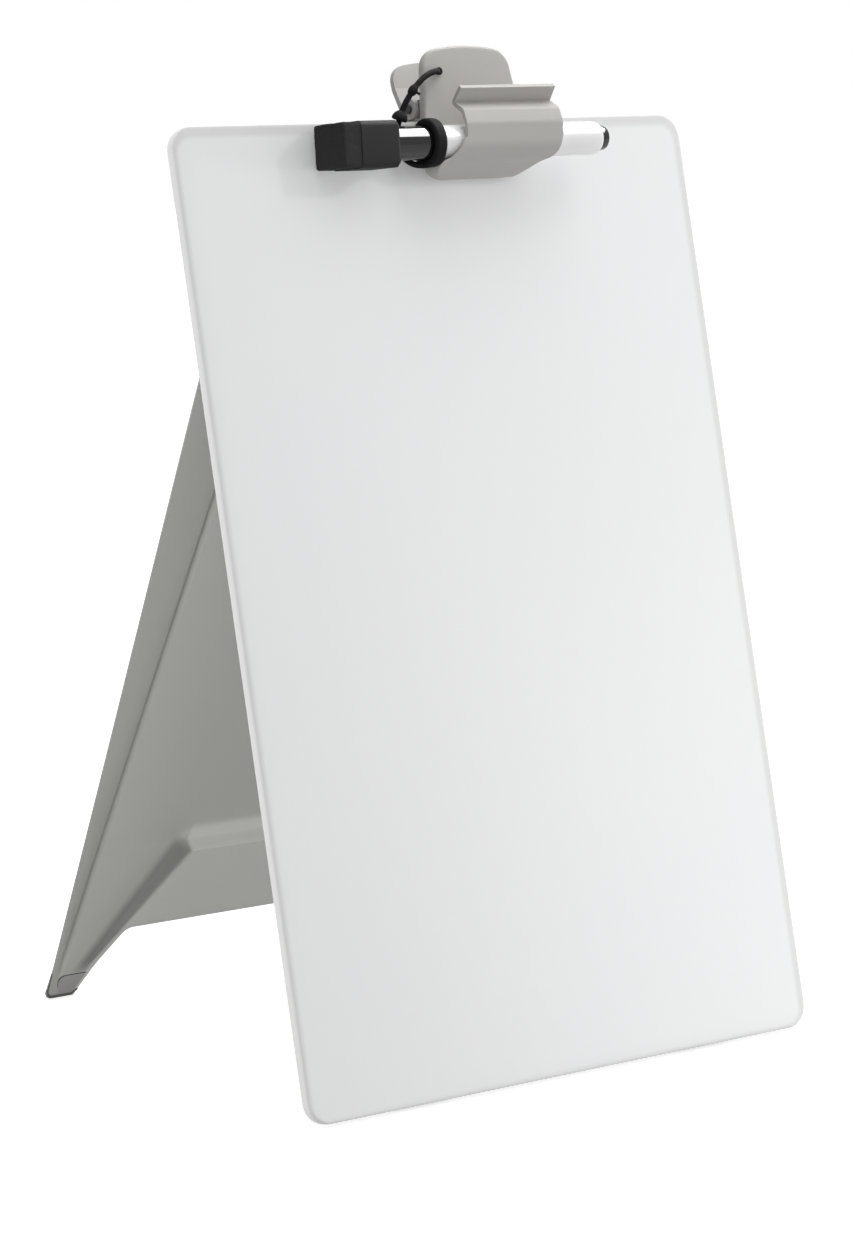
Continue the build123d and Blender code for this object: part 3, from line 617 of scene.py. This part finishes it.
# %% [markdown]
# ## The leg's finish
# The steep walls of the wedge and the folds get painted shade, darker than the flat faces, and the wedge's
# face gets painted light, lighter than the rest. The masks for this are worked out from the same slopes that
# shape the leg, so they follow its edges without any picture.
# %% Leg finish
CREASE_SHADE, WALL_SHADE, FIELD_PAINTED_LIGHT = 0.15, 0.48, 1.3


def leg_material():
    """The grey plastic with painted shade at the wedge's side walls and in the folds and painted light on the
    wedge's face.
    """
    material = grain_finish("leg_satin_plastic", (0.481, 0.484, 0.460, 1.0), 0.52, tone=0.035, bump=0.00001,
                            specular=0.3)
    tree = material.node_tree
    shader = tree.nodes["Principled BSDF"]
    plain = shader.inputs["Base Color"].links[0].from_socket
    x, deep, up = upright_spot(tree, LEG_PLACE.translation, LEG_LEAN, 0.001)

    def step(value, low, high, first=0.0, last=1.0):
        return smooth_step(tree, value, low, high, first, last)

    def both(first, second):
        return maths(tree, "MULTIPLY", first, second)

    out = maths(tree, "ABSOLUTE", x)
    inner_face = step(deep, 2.0, 2.5, 1.0, 0.0)
    wedge_edge = maths(tree, "MULTIPLY_ADD", up, -WEDGE_SLOPE, WEDGE_HALF_TOP + WEDGE_SLOPE * WEDGE_TOP)
    wall = both(maths(tree, "SUBTRACT", wedge_edge, out), WEDGE_SINE)
    steep = both(step(wall, -5.0, -0.6), step(wall, 0.7, 1.7, 1.0, 0.0))
    steep = both(steep, step(up, WEDGE_TOP - 2.0, WEDGE_TOP + 2.5, 1.0, 0.0))
    steep = both(steep, step(up, 7.0, 15.0))
    fold_line = maths(tree, "MULTIPLY_ADD", up, -FOLD_TAPER, FOLD_HALF)
    from_fold = maths(tree, "ABSOLUTE", maths(tree, "SUBTRACT", out, fold_line))
    crease = both(step(from_fold, 0.4, 2.4, CREASE_SHADE, 0.0), step(up, 10.0, 24.0))
    # Painted shade: the wedge's walls and the folds are darkened in the colour itself.
    dark = both(maths(tree, "MAXIMUM", steep, crease), inner_face)
    # Painted light: the wedge's face is made lighter in the colour than the rest of the leg.
    field = both(step(wall, 1.0, 2.6), step(up, WEDGE_TOP + 3.0, WEDGE_TOP + 6.5, 1.0, 0.0))
    lit = mix_colour(tree, both(field, inner_face), grey(1.0), grey(FIELD_PAINTED_LIGHT))
    shade = mix_colour(tree, dark, lit, grey(WALL_SHADE))
    tree.links.new(mix_colour(tree, 1.0, plain, shade, "MULTIPLY"), shader.inputs["Base Color"])
    return material


FINISH["leg_plastic"] = leg_material()
print("leg finish nodes:", len(FINISH["leg_plastic"].node_tree.nodes))

# %% [markdown]
# ## Cutting the leg's outline
# A rule that moves vertices can only bend a face where it has some. The flat outline is therefore cut along
# the folds and round the wedge with several close lines, wherever the height changes fast, and left coarse
# elsewhere.
# %% Leg outline
TAB = 7.0
SHOULDER = LEG_AXIS - 1.0
EAR_GAP, EAR_MIDDLE, FOOT_INNER = 3.4, 42.0, 90.6
FOLD_CUTS = (0.2, 0.5, 0.9, 1.4, 2.0)
WALL_CUTS = (-4.5, -3.4, -2.4, -1.5, -0.9, -0.45, 0.0, 0.4, 0.8, 1.3)
WEDGE_REACH, LEVEL_STEP = 78.0, 4
TOE_R, SHOULDER_R, ARCH_R = 3.4, 9.0, 2.5


def leg_outline_points():
    """Right half of the outline from the middle of the arch round to the middle of the top, then mirrored."""
    notch_low = LEG_AXIS - 7.0
    right = [(ARCH_HALF, ARCH_TOP), (FOOT_INNER, 0.0), (EDGE_HALF, 0.0), (edge_half(SHOULDER), SHOULDER),
             (EAR_MIDDLE + EAR_GAP + 0.6, SHOULDER), (EAR_MIDDLE + EAR_GAP + 0.6, notch_low),
             (EAR_MIDDLE - EAR_GAP, notch_low), (EAR_MIDDLE - EAR_GAP, LEG_AXIS - 3.0),
             (EAR_GAP, LEG_AXIS - 3.0), (EAR_GAP, notch_low)]
    return right + [(-x, z) for x, z in reversed(right)]


def leg_panel_mesh():
    """The leg's flat inner face, with edges wherever it will bend."""
    bm = bmesh.new()
    outline_face(bm, leg_outline_points())
    top_corners = [v for v in bm.verts if abs(v.co.z - SHOULDER) < 0.01 and abs(v.co.x) > 60]
    arch_corners = [v for v in bm.verts if abs(v.co.z - ARCH_TOP) < 0.01]
    toe_corners = [v for v in bm.verts if abs(v.co.z) < 0.01 and abs(v.co.x) > 100]
    round_corners(bm, toe_corners, TOE_R, 5)
    round_corners(bm, top_corners, SHOULDER_R, 8)
    round_corners(bm, arch_corners, ARCH_R, 4)
    forward, upward = Vector((0, 1, 0)), (0, 0, 1)
    for side in (-1, 1):
        for offset in [-cut for cut in reversed(FOLD_CUTS)] + list(FOLD_CUTS):
            foot = Vector((side * (fold_half(0) + offset), 0, 0))
            head = Vector((side * (fold_half(TOP) + offset), 0, TOP))
            score(bm, foot, (head - foot).cross(forward))
    for level in (WEDGE_REACH, 40.0):
        score(bm, (0, 0, level), upward)
    for offset in WALL_CUTS:
        score(bm, (0, 0, WEDGE_TOP - offset), upward,
              lambda m: abs(m.x) < 97 - 0.1 * m.z and m.z < WEDGE_REACH)
    score(bm, (0, 0, 0), (1, 0, 0))
    for level in range(6, int(WEDGE_TOP), LEVEL_STEP):
        score(bm, (0, 0, level), upward, lambda m: m.z < WEDGE_REACH)
    for side in (-1, 1):
        for offset in (*WALL_CUTS, 2.2):
            shift = offset / WEDGE_SINE
            foot = Vector((side * (wedge_half(0) - shift), 0, 0))
            head = Vector((side * (wedge_half(70) - shift), 0, 70))
            score(bm, foot, (head - foot).cross(forward), lambda m: m.x * side > 20 and m.z < WEDGE_REACH)
    return bm


bm = leg_panel_mesh()
print("leg outline faces:", len(bm.faces))

# %% [markdown]
# ## From the flat outline to the moulding
# The cut outline is pulled back to the wall's thickness and its rim is rounded while it is still flat,
# which is when a bevel works best. Only then does each vertex move to the height of the surface. The ribs,
# the stop tabs and the knuckles for the pin are boxes and lathed bars on the rear, as a mould maker would
# add them.
# %% Leg moulding
RIB_EDGE, RIB_HALF, RIB_FRONT, RIB_BACK = 0.4, 0.9, 2.5, 7.0
KNUCKLE_BORE, KNUCKLE_R, KNUCKLE_EDGE, KNUCKLE_STEPS = 1.75, 4.0, 0.4, 48


def box_into(bm, low, high, turn=0.0, pivot=(0, 0)):
    """Adds a box between two corners, turned about Y round a point of X and Z."""
    middle = (Vector(low) + Vector(high)) / 2
    size = Vector(high) - Vector(low)
    around = Matrix.Translation((pivot[0], 0, pivot[1]))
    place = around @ Matrix.Rotation(turn, 4, "Y") @ around.inverted() @ Matrix.Translation(middle)
    made = bmesh.ops.create_cube(bm, size=1.0, matrix=place @ Matrix.Diagonal((*size, 1.0)))
    round_edges(bm, list({e for v in made["verts"] for e in v.link_edges}), RIB_EDGE, 2)


def tube_into(bm, profile, y, z):
    """Adds a lathed tube along X at a place."""
    part = bmesh.new()
    lathe(part, profile, KNUCKLE_STEPS, True)
    bmesh.ops.translate(part, verts=part.verts, vec=(0, y, z))
    mesh = bpy.data.meshes.new("part")
    part.to_mesh(mesh)
    part.free()
    bm.from_mesh(mesh)
    bpy.data.meshes.remove(mesh)


pull(bm, bm.faces[:], (0, LEG_T, 0))
bmesh.ops.recalc_face_normals(bm, faces=bm.faces)
rim = [e for e in bm.edges if len(e.link_faces) == 2 and e.calc_face_angle() > 1.0]
round_edges(bm, [e for e in rim if abs(e.verts[0].co.y - e.verts[1].co.y) < 0.01], 0.5, 3)
for vert in bm.verts:
    x, y, up = vert.co
    vert.co.y = y - facet_rise(x, up) - moulded_rise(x, up) * (1 - y / LEG_T)
    below_shoulder = 1 - ease(up, SHOULDER - 12, SHOULDER - 4)
    rim_here = ease(abs(x), edge_half(up) - 0.9, edge_half(up) - 0.6) * below_shoulder
    vert.co.x = x - (1 if x > 0 else -1) * EDGE_SLANT * rim_here * ease(y, 0.0, LEG_T)
box_into(bm, (-ARCH_HALF + 3, RIB_FRONT, 30.3), (ARCH_HALF - 3, RIB_BACK, 32.1))
for side in (-1, 1):
    foot, head = Vector((side * 84.0, 22.0)), Vector((side * 38.0, LEG_AXIS - 3.0))
    run = head - foot
    lean_in = run.x / abs(run.x) * abs(run.angle(Vector((0, 1))))
    box_into(bm, (foot.x - RIB_HALF, RIB_FRONT, foot.y), (foot.x + RIB_HALF, RIB_BACK, foot.y + run.length),
             lean_in, tuple(foot))
    inner, outer = sorted((side * EAR_GAP, side * (EAR_MIDDLE - EAR_GAP)))
    box_into(bm, (inner, 0.0, LEG_AXIS + 3.0), (outer, LEG_T, LEG_AXIS + TAB))
    knuckle = [(inner, KNUCKLE_BORE), (inner, KNUCKLE_R - KNUCKLE_EDGE), (inner + KNUCKLE_EDGE, KNUCKLE_R),
               (outer - KNUCKLE_EDGE, KNUCKLE_R), (outer, KNUCKLE_R - KNUCKLE_EDGE), (outer, KNUCKLE_BORE)]
    tube_into(bm, knuckle, 2.0, LEG_AXIS)
leg = put_in_scene(bm, "leg_moulding", LEG_PLACE, "leg_plastic", "leg", ("leg_panel",), sharp=40)
print("leg faces", len(leg.data.polygons))

# %% [markdown]
# ## Feet
# Each foot of the leg ends in a rubber boot: a thin rim round the toe and a tab let into the inner face,
# with a near-black strip of painted shadow in the seam beside the tab. The board stands on two wedge pads.
# These, the hinge's buffers and the
# clip's grip pads have the right shape and only need softer edges.
# %% Rubber tips and pads
TIP_TOP, TIP_PROUD, TAB_LOW, TAB_TOP = 11.5, 0.12, 1.3, 9.2


def foot_rim(side):
    """The rim round the toe, drawn on the upright leg for the left foot or the right."""
    bm = bmesh.new()
    outer = [(edge_half(TIP_TOP) + TIP_PROUD, TIP_TOP), (edge_half(3.4) + TIP_PROUD, 3.4), (102.6, 1.9),
             (101.8, 0.8), (100.7, 0.2), (99.3, 0.0), (91.4, 0.0), (88.6, 2.3)]
    inner = [(89.4, 2.9), (91.9, 1.4), (99.2, 1.4), (100.3, 1.55), (101.1, 2.0), (101.6, 2.7),
             (edge_half(3.6) - 0.75, 3.6), (edge_half(TIP_TOP) - 0.6, TIP_TOP)]
    outline_face(bm, [(side * x, z) for x, z in outer + inner])
    pull(bm, bm.faces[:], (0, LEG_T + 0.1, 0))
    bmesh.ops.recalc_face_normals(bm, faces=bm.faces)
    round_edges(bm, bm.edges[:], 0.22, 2)
    for vert in bm.verts:
        x, y, up = vert.co
        vert.co.y = y - TIP_PROUD - facet_rise(x, up)
        rim_here = ease(abs(x), edge_half(up) - 1.6, edge_half(up) - 0.9)
        vert.co.x = x - side * EDGE_SLANT * rim_here * ease(y, 0.0, LEG_T)
        vert.co.z = up - ease(3.0 - up, 0.0, 3.0) * max(0.0, vert.co.y) * tan(LEG_LEAN)
    return bm


def foot_tab(side, front, back, grow=0.0, low=TAB_LOW):
    """The tab let into the inner face, or, grown a little, the near-black strip of painted shadow beside it.
    """
    bm = bmesh.new()
    points = [(97.8 + grow, low), (98.2 + grow, TAB_TOP + grow), (86.3, TAB_TOP + grow),
              (91.2 - 0.6 * (low - TAB_LOW), low)]
    outline_face(bm, [(side * x, z) for x, z in points])
    round_corners(bm, [v for v in bm.verts if abs(v.co.x) > 97 and v.co.z > 8], 3.0, 6)
    pull(bm, bm.faces[:], (0, back - front, 0))
    bmesh.ops.translate(bm, verts=bm.verts, vec=(0, front, 0))
    return bm


leg_pieces = [leg]
# Painted shadow: the seam piece is a near-black strip that stands for the shade in the gap beside the tab.
for side, node in ((-1, "leg_foot_left"), (1, "leg_foot_right")):
    for part, bm, finish, edge in (("_rim", foot_rim(side), "tip_rim", 0.0),
                                   ("_tab", foot_tab(side, -0.10, 1.0), "tip_rubber", 0.15),
                                   ("_seam", foot_tab(side, -0.03, 0.9, 0.3, 4.6), "seam", 0.0)):
        leg_pieces.append(put_in_scene(bm, node + part, LEG_PLACE, finish, "leg", (node,), edge=edge))
softened_node("board_feet", "dark_rubber", "board", 0.5)
softened_node("stop_buffers", "dark_rubber", "board", 0.25)
softened_node("clip_rear_pad", "grip_rubber", "board", 0.3)
softened_node("clip_jaw_pad", "grip_rubber", "clip_front", 0.3)
print("leg pieces:", len(leg_pieces))

# %% [markdown]
# ## Marker and cap
# The marker is turned work, so its pieces are profiles spun about its axis, as points of length and radius.
# The barrel is glossy white with a black plug in its end, and the barrel of the cap is gloss black.
# %% Marker
BODY_X0, BODY_X1, PLUG_X1, CAP_X0, HOLDER_X0, FELT_X0 = -10.2, 61.4, 65.0, -30.0, -47.2, -54.5
BODY_R, BORE_R, SOCKET_R, CAP_BORE_R, TURN_STEPS = 6.0, 4.95, 3.95, 5.28, 72


def turned_piece(name, profile, finish, body, nodes, hollow=False, sharp=28.0):
    """A profile spun about the marker's axis."""
    bm = bmesh.new()
    lathe(bm, profile, TURN_STEPS, hollow)
    return put_in_scene(bm, name, MARKER_PLACE, finish, body, nodes, sharp=sharp)


TUBE = [(BODY_X0, BORE_R), (BODY_X0, 5.8), (BODY_X0 + 0.15, 5.97), (BODY_X0 + 0.4, BODY_R), (-4.0, BODY_R),
        (20.0, BODY_R), (50.0, BODY_R), (BODY_X1 - 2.3, BODY_R), (BODY_X1 - 1.4, 5.88), (BODY_X1 - 0.7, 5.6),
        (BODY_X1 - 0.25, 5.25), (BODY_X1, 4.9), (BODY_X1, SOCKET_R), (BODY_X1 - 4.2, SOCKET_R),
        (BODY_X1 - 4.2, BORE_R)]
PLUG = [(BODY_X1 - 3.8, 0.0), (BODY_X1 - 3.8, 3.88), (BODY_X1 + 0.02, 3.88), (BODY_X1 + 0.02, 4.8),
        (BODY_X1 + 0.25, 4.85), (BODY_X1 + 1.0, 4.75), (BODY_X1 + 1.2, 4.5), (BODY_X1 + 1.5, 4.42),
        (PLUG_X1 - 0.9, 4.38), (PLUG_X1 - 0.4, 4.15), (PLUG_X1 - 0.08, 3.7), (PLUG_X1, 3.2), (PLUG_X1, 0.0)]
CAP = [(CAP_X0 - 1.9, 0.0), (CAP_X0 - 1.9, 5.95), (CAP_X0 + 0.3, 5.95), (-20.0, 5.97), (-11.2, 5.97),
       (-10.6, 5.95), (BODY_X0 - 0.15, 5.75), (BODY_X0 - 0.15, CAP_BORE_R), (CAP_X0 + 1.1, CAP_BORE_R),
       (CAP_X0 + 1.1, 0.0)]
turned_piece("marker_tube", TUBE, "white_plastic", "marker", ("marker_barrel",),
             hollow=True)
turned_piece("marker_plug", PLUG, "black_plastic", "marker", ("marker_end_plug",))
turned_piece("cap_barrel", CAP, "black_plastic", "cap", ("cap_shell",))
print("marker length", round(PLUG_X1 - FELT_X0, 1), "mm")

# %% [markdown]
# ## Eraser
# The square holder on the cap's end is a rounded block with a finely dotted satin skin and a socket in its
# end. The felt in it is a block that is cut into a fine grid and pushed about by noise, because felt never
# has a flat face or a clean edge.
# %% Eraser holder
HOLDER_DEEP, HOLDER_HIGH, HOLDER_WALL, SOCKET_DEEP = 19.5, 16.3, 1.9, 2.0
HOLDER_ROLL, HOLDER_DROP = radians(8.3), 0.4
ROLLED_PLACE = MARKER_PLACE @ Matrix.Rotation(HOLDER_ROLL, 4, "X") @ Matrix.Translation((0, 0, -HOLDER_DROP))


def block(x0, x1, deep, high, radius, steps):
    """A bmesh box along X round the marker's axis, its four long edges rounded."""
    bm = bmesh.new()
    size = Matrix.Diagonal((x1 - x0, deep, high, 1.0))
    bmesh.ops.create_cube(bm, size=1.0, matrix=Matrix.Translation(((x0 + x1) / 2, 0, 0)) @ size)
    round_edges(bm, [e for e in bm.edges if abs(e.verts[0].co.x - e.verts[1].co.x) > 1], radius, steps)
    return bm


def holder_mesh():
    """A block with rounded long edges, a chamfered shoulder at the barrel and a socket for the felt."""
    bm = block(HOLDER_X0, CAP_X0, HOLDER_DEEP, HOLDER_HIGH, 2.2, 6)
    right_end = [f for f in bm.faces if f.normal.x > 0.9]
    round_edges(bm, [e for f in right_end for e in f.edges], HOLDER_WALL, 1)
    left_end = [f for f in bm.faces if f.normal.x < -0.9]
    made = bmesh.ops.inset_region(bm, faces=left_end, thickness=HOLDER_WALL)
    left_end = [f for f in bm.faces if f.normal.x < -0.9 and f not in made["faces"]]
    old = {v for f in left_end for v in f.verts}
    pull(bm, left_end, (SOCKET_DEEP, 0, 0))
    lid = [f for f in bm.faces if set(f.verts) <= old and f.normal.x < -0.9]
    bmesh.ops.delete(bm, geom=lid, context="FACES_ONLY")
    return bm


holder = put_in_scene(holder_mesh(), "eraser_holder", ROLLED_PLACE, "holder_plastic", "cap", ("cap_shell",),
                      edge=0.18)
print("holder faces", len(holder.data.polygons))

# %% Eraser felt
FELT_GAP, FELT_STEP, LUMPS, FUZZ = 0.7, 0.55, 0.12, 0.11


def felt_mesh():
    """A felt block on a fine grid, its surface pushed about by two sizes of noise."""
    bm = block(FELT_X0 + 0.25, HOLDER_X0 + 0.1, HOLDER_DEEP - FELT_GAP, HOLDER_HIGH - FELT_GAP, 1.4, 3)
    end = [f for f in bm.faces if f.normal.x < -0.9]
    round_edges(bm, [e for f in end for e in f.edges], 0.7, 3)
    for axis, first, last in ((0, FELT_X0 + 1.2, HOLDER_X0), (1, -8.8, 8.9), (2, -7.15, 7.2)):
        normal, point = Vector(), Vector()
        normal[axis], point[axis] = 1.0, first
        while point[axis] < last:
            block_now = bm.verts[:] + bm.edges[:] + bm.faces[:]
            bmesh.ops.bisect_plane(bm, geom=block_now, dist=WELD, plane_co=point, plane_no=normal)
            point[axis] += FELT_STEP
    bm.normal_update()
    for vert in bm.verts:
        if vert.co.x < HOLDER_X0 - 0.1:
            lump = noise.noise(vert.co * 0.45) * LUMPS + noise.noise(vert.co * 1.9) * FUZZ
            vert.co += vert.normal * lump
    return bm


felt = put_in_scene(felt_mesh(), "felt_block", ROLLED_PLACE, "felt", "cap", ("eraser_felt",), sharp=80)
print("felt faces", len(felt.data.polygons))

# %% [markdown]
# ## The strap's mouldings
# A ring holds the cap, and two beads thicken the strap. The ring shows a fine line where its mould closed.
# All are lathed: the ring about the marker, and each bead about the run of the strap. A small eyelet on a
# peg ties the strap's other end to the clip.
# %% Ring of the strap
RING_BORE, RING_R, MOULD_LINE_R = 6.08, 8.54, 8.6
RING = [(-14.2, 6.6), (-14.0, 6.16), (-13.7, RING_BORE), (-10.4, RING_BORE), (-10.1, 6.16), (-9.95, 6.6),
        (-9.95, 7.6), (-10.02, 8.0), (-10.25, 8.33), (-10.6, 8.5), (-11.0, RING_R), (-12.0, RING_R),
        (-12.05, MOULD_LINE_R), (-12.2, MOULD_LINE_R), (-12.25, RING_R), (-13.2, RING_R), (-13.6, 8.5),
        (-13.95, 8.33), (-14.15, 8.0), (-14.2, 7.6)]
ring = turned_piece("strap_ring", RING, "strap_rubber", "clip_front", ("tether_ring",),
                    hollow=True, sharp=50)
print("ring faces", len(ring.data.polygons))

# %% Beads and eyelet of the strap
BEAD_STEPS, PEG_STEPS = 32, 24


def along_strap(index):
    """A matrix whose X axis lies along the run of the strap that starts at a route point."""
    here, there = (Vector((x, y, TOP + z)) for x, y, z in STRAP_ROUTE[index:index + 2])
    turn = (there - here).normalized().to_track_quat("X", "Z").to_matrix().to_4x4()
    return BOARD_PLACE @ Matrix.Translation((here + there) / 2) @ turn


def bead(name, node, index, profile, barb=None):
    """A bead lathed about the strap; barb is where a short stub that stands out of its side ends."""
    bm = bmesh.new()
    lathe(bm, profile, BEAD_STEPS)
    place = along_strap(index)
    if barb:
        tip = place.inverted() @ BOARD_PLACE @ Vector(barb)
        turn = tip.normalized().to_track_quat("X", "Z").to_matrix().to_4x4()
        middle = Matrix.Translation((tip.length / 2, 0, 0))
        size = Matrix.Diagonal((tip.length, 0.75, 0.9, 1.0))
        stub = bmesh.ops.create_cube(bm, size=1.0, matrix=turn @ middle @ size)
        round_edges(bm, list({e for v in stub["verts"] for e in v.link_edges}), 0.25, 2)
    return put_in_scene(bm, name, place, "strap_rubber", "clip_front", (node,), sharp=50)


UPPER = [(-1.9, 0), (-1.9, 1.08), (-1.5, 1.3), (-0.6, 1.62), (0.5, 1.66), (1.3, 1.42), (1.7, 1.12), (1.7, 0)]
LOWER = [(-2.2, 0), (-2.2, 1.15), (-1.7, 1.75), (-1.0, 2.35), (-0.1, 2.75), (0.7, 2.85), (1.15, 2.7),
         (1.3, 2.3), (1.3, 0)]
LOOP_R, LOOP_MIDDLE, EYE_AT, STUB_TIP = 0.42, 0.98, (0.8, -5.0, TOP + 16.5), (-11.2, -8.7, TOP + 7.6)
upper_bead = bead("bead_upper", "tether_bead_upper", 3, UPPER, barb=STUB_TIP)
lower_bead = bead("bead_lower", "tether_bead_lower", 5, LOWER)
bm = bmesh.new()
angles = [radians(a) for a in range(0, 360, 30)]
lathe(bm, [(LOOP_R + LOOP_R * cos(a), LOOP_MIDDLE + LOOP_R * sin(a)) for a in angles], BEAD_STEPS, True)
eye_place = BOARD_PLACE @ Matrix.Translation(EYE_AT) @ Matrix.Rotation(radians(-90), 4, "Z")
eyelet = put_in_scene(bm, "strap_loop", eye_place, "strap_rubber", "clip_front", ("tether_anchor",), sharp=50)
bm = bmesh.new()
lathe(bm, [(-1.0, 0), (-1.0, 0.5), (0.5, 0.5), (0.7, 0.42), (0.78, 0.25), (0.78, 0)], PEG_STEPS)
put_in_scene(bm, "loop_peg", eye_place, "clip_plastic", "clip_front", sharp=50)
print("eyelet faces", len(eyelet.data.polygons))

# %% [markdown]
# ## Solids that need only a finish
# What hides inside the clip, the hinge and the marker is already right, so it keeps its shape and gets a
# material. The two clip plates and the hinge bracket show, so they stand again as welded copies with
# softened edges.
# %% Finishes for the other solids
KEPT = {"steel_backing_sheet": "steel_coating", "bracket_tape": "foam", "hinge_pin": "pin_steel",
        "clip_pin": "dark_steel", "clip_spring": "spring_steel", "marker_section": "black_plastic",
        "marker_nib": "nib_fibre", "ink_reservoir": "wick", "cap_seal": "seal"}
for node, finish in KEPT.items():
    keep_node(node, finish)
softened_node("clip_front_plate", "clip_plastic", "clip_front", 0.35)
softened_node("clip_rear_plate", "clip_plastic", "board", 0.4)
softened_node("hinge_bracket", "grey_plastic", "board", 0.4)
everything = [o for o in scene.objects if o.type in {"MESH", "CURVE"}]
print("pieces and solids:", len(everything))

# %% [markdown]
# ## Lamps for single pieces
# The leg stands in the shade of the board, and the ground edge of real glass carries light that comes in
# elsewhere. Linked lamps make up for this: each lights its own pieces and changes nothing else.
# %% Linked lamps
PEN_NAMES = ("marker", "cap", "eraser", "felt")
OVERHEAD = {"place": (0.25, -0.35, 1.9), "aim": (0.0, -0.05, 0.2), "size": 1.1, "power": 9.0}
not_glass = [o for o in everything if o != glass]
not_leg = [o for o in everything if o not in leg_pieces]
not_pen = [o for o in everything if not o.name.startswith(PEN_NAMES)]
linked_lamp("overhead_lamp", **OVERHEAD, lit=not_glass).visible_glossy = True
linked_lamp("overhead_on_glass", **OVERHEAD, lit=[glass], blockers=not_pen)
panel = linked_lamp("gloss_panel", place=(0.68, -0.25, 1.35), aim=(0.68, -0.25, 0.0), size=1.4, power=150.0,
                    lit=[o for o in not_leg if o != glass])
panel.data.shape = "SQUARE"
panel.visible_glossy, panel.visible_diffuse = True, False
linked_lamp("right_lamp", place=(1.6, -0.6, 0.2), aim=(0.0, 0.0, 0.15), size=0.7, power=6.0, lit=not_leg)
linked_lamp("leg_lamp", place=(-0.78, -0.66, 0.40), aim=(0.0, 0.06, 0.18), size=0.5, power=3.9,
            lit=leg_pieces, blockers=leg_pieces)
linked_lamp("edge_lamp", place=(-1.3, 0.18, 0.3), aim=(-0.11, -0.05, 0.17), size=0.5, power=9.0,
            lit=[glass], blockers=[glass])
linked_lamp("board_fill", place=(0.80, -0.75, 0.12), aim=(0.05, -0.05, 0.14), size=0.6, power=4.4,
            lit=[glass], blockers=[glass])

# %% [markdown]
# ## The last step
# Who uses the model later has to know how long the strap is, so its curve is made a chain of points.
route_object = bpy.data.objects.new("route", strap_line())
line = bpy.data.meshes.new_from_object(route_object)
bpy.data.objects.remove(route_object)
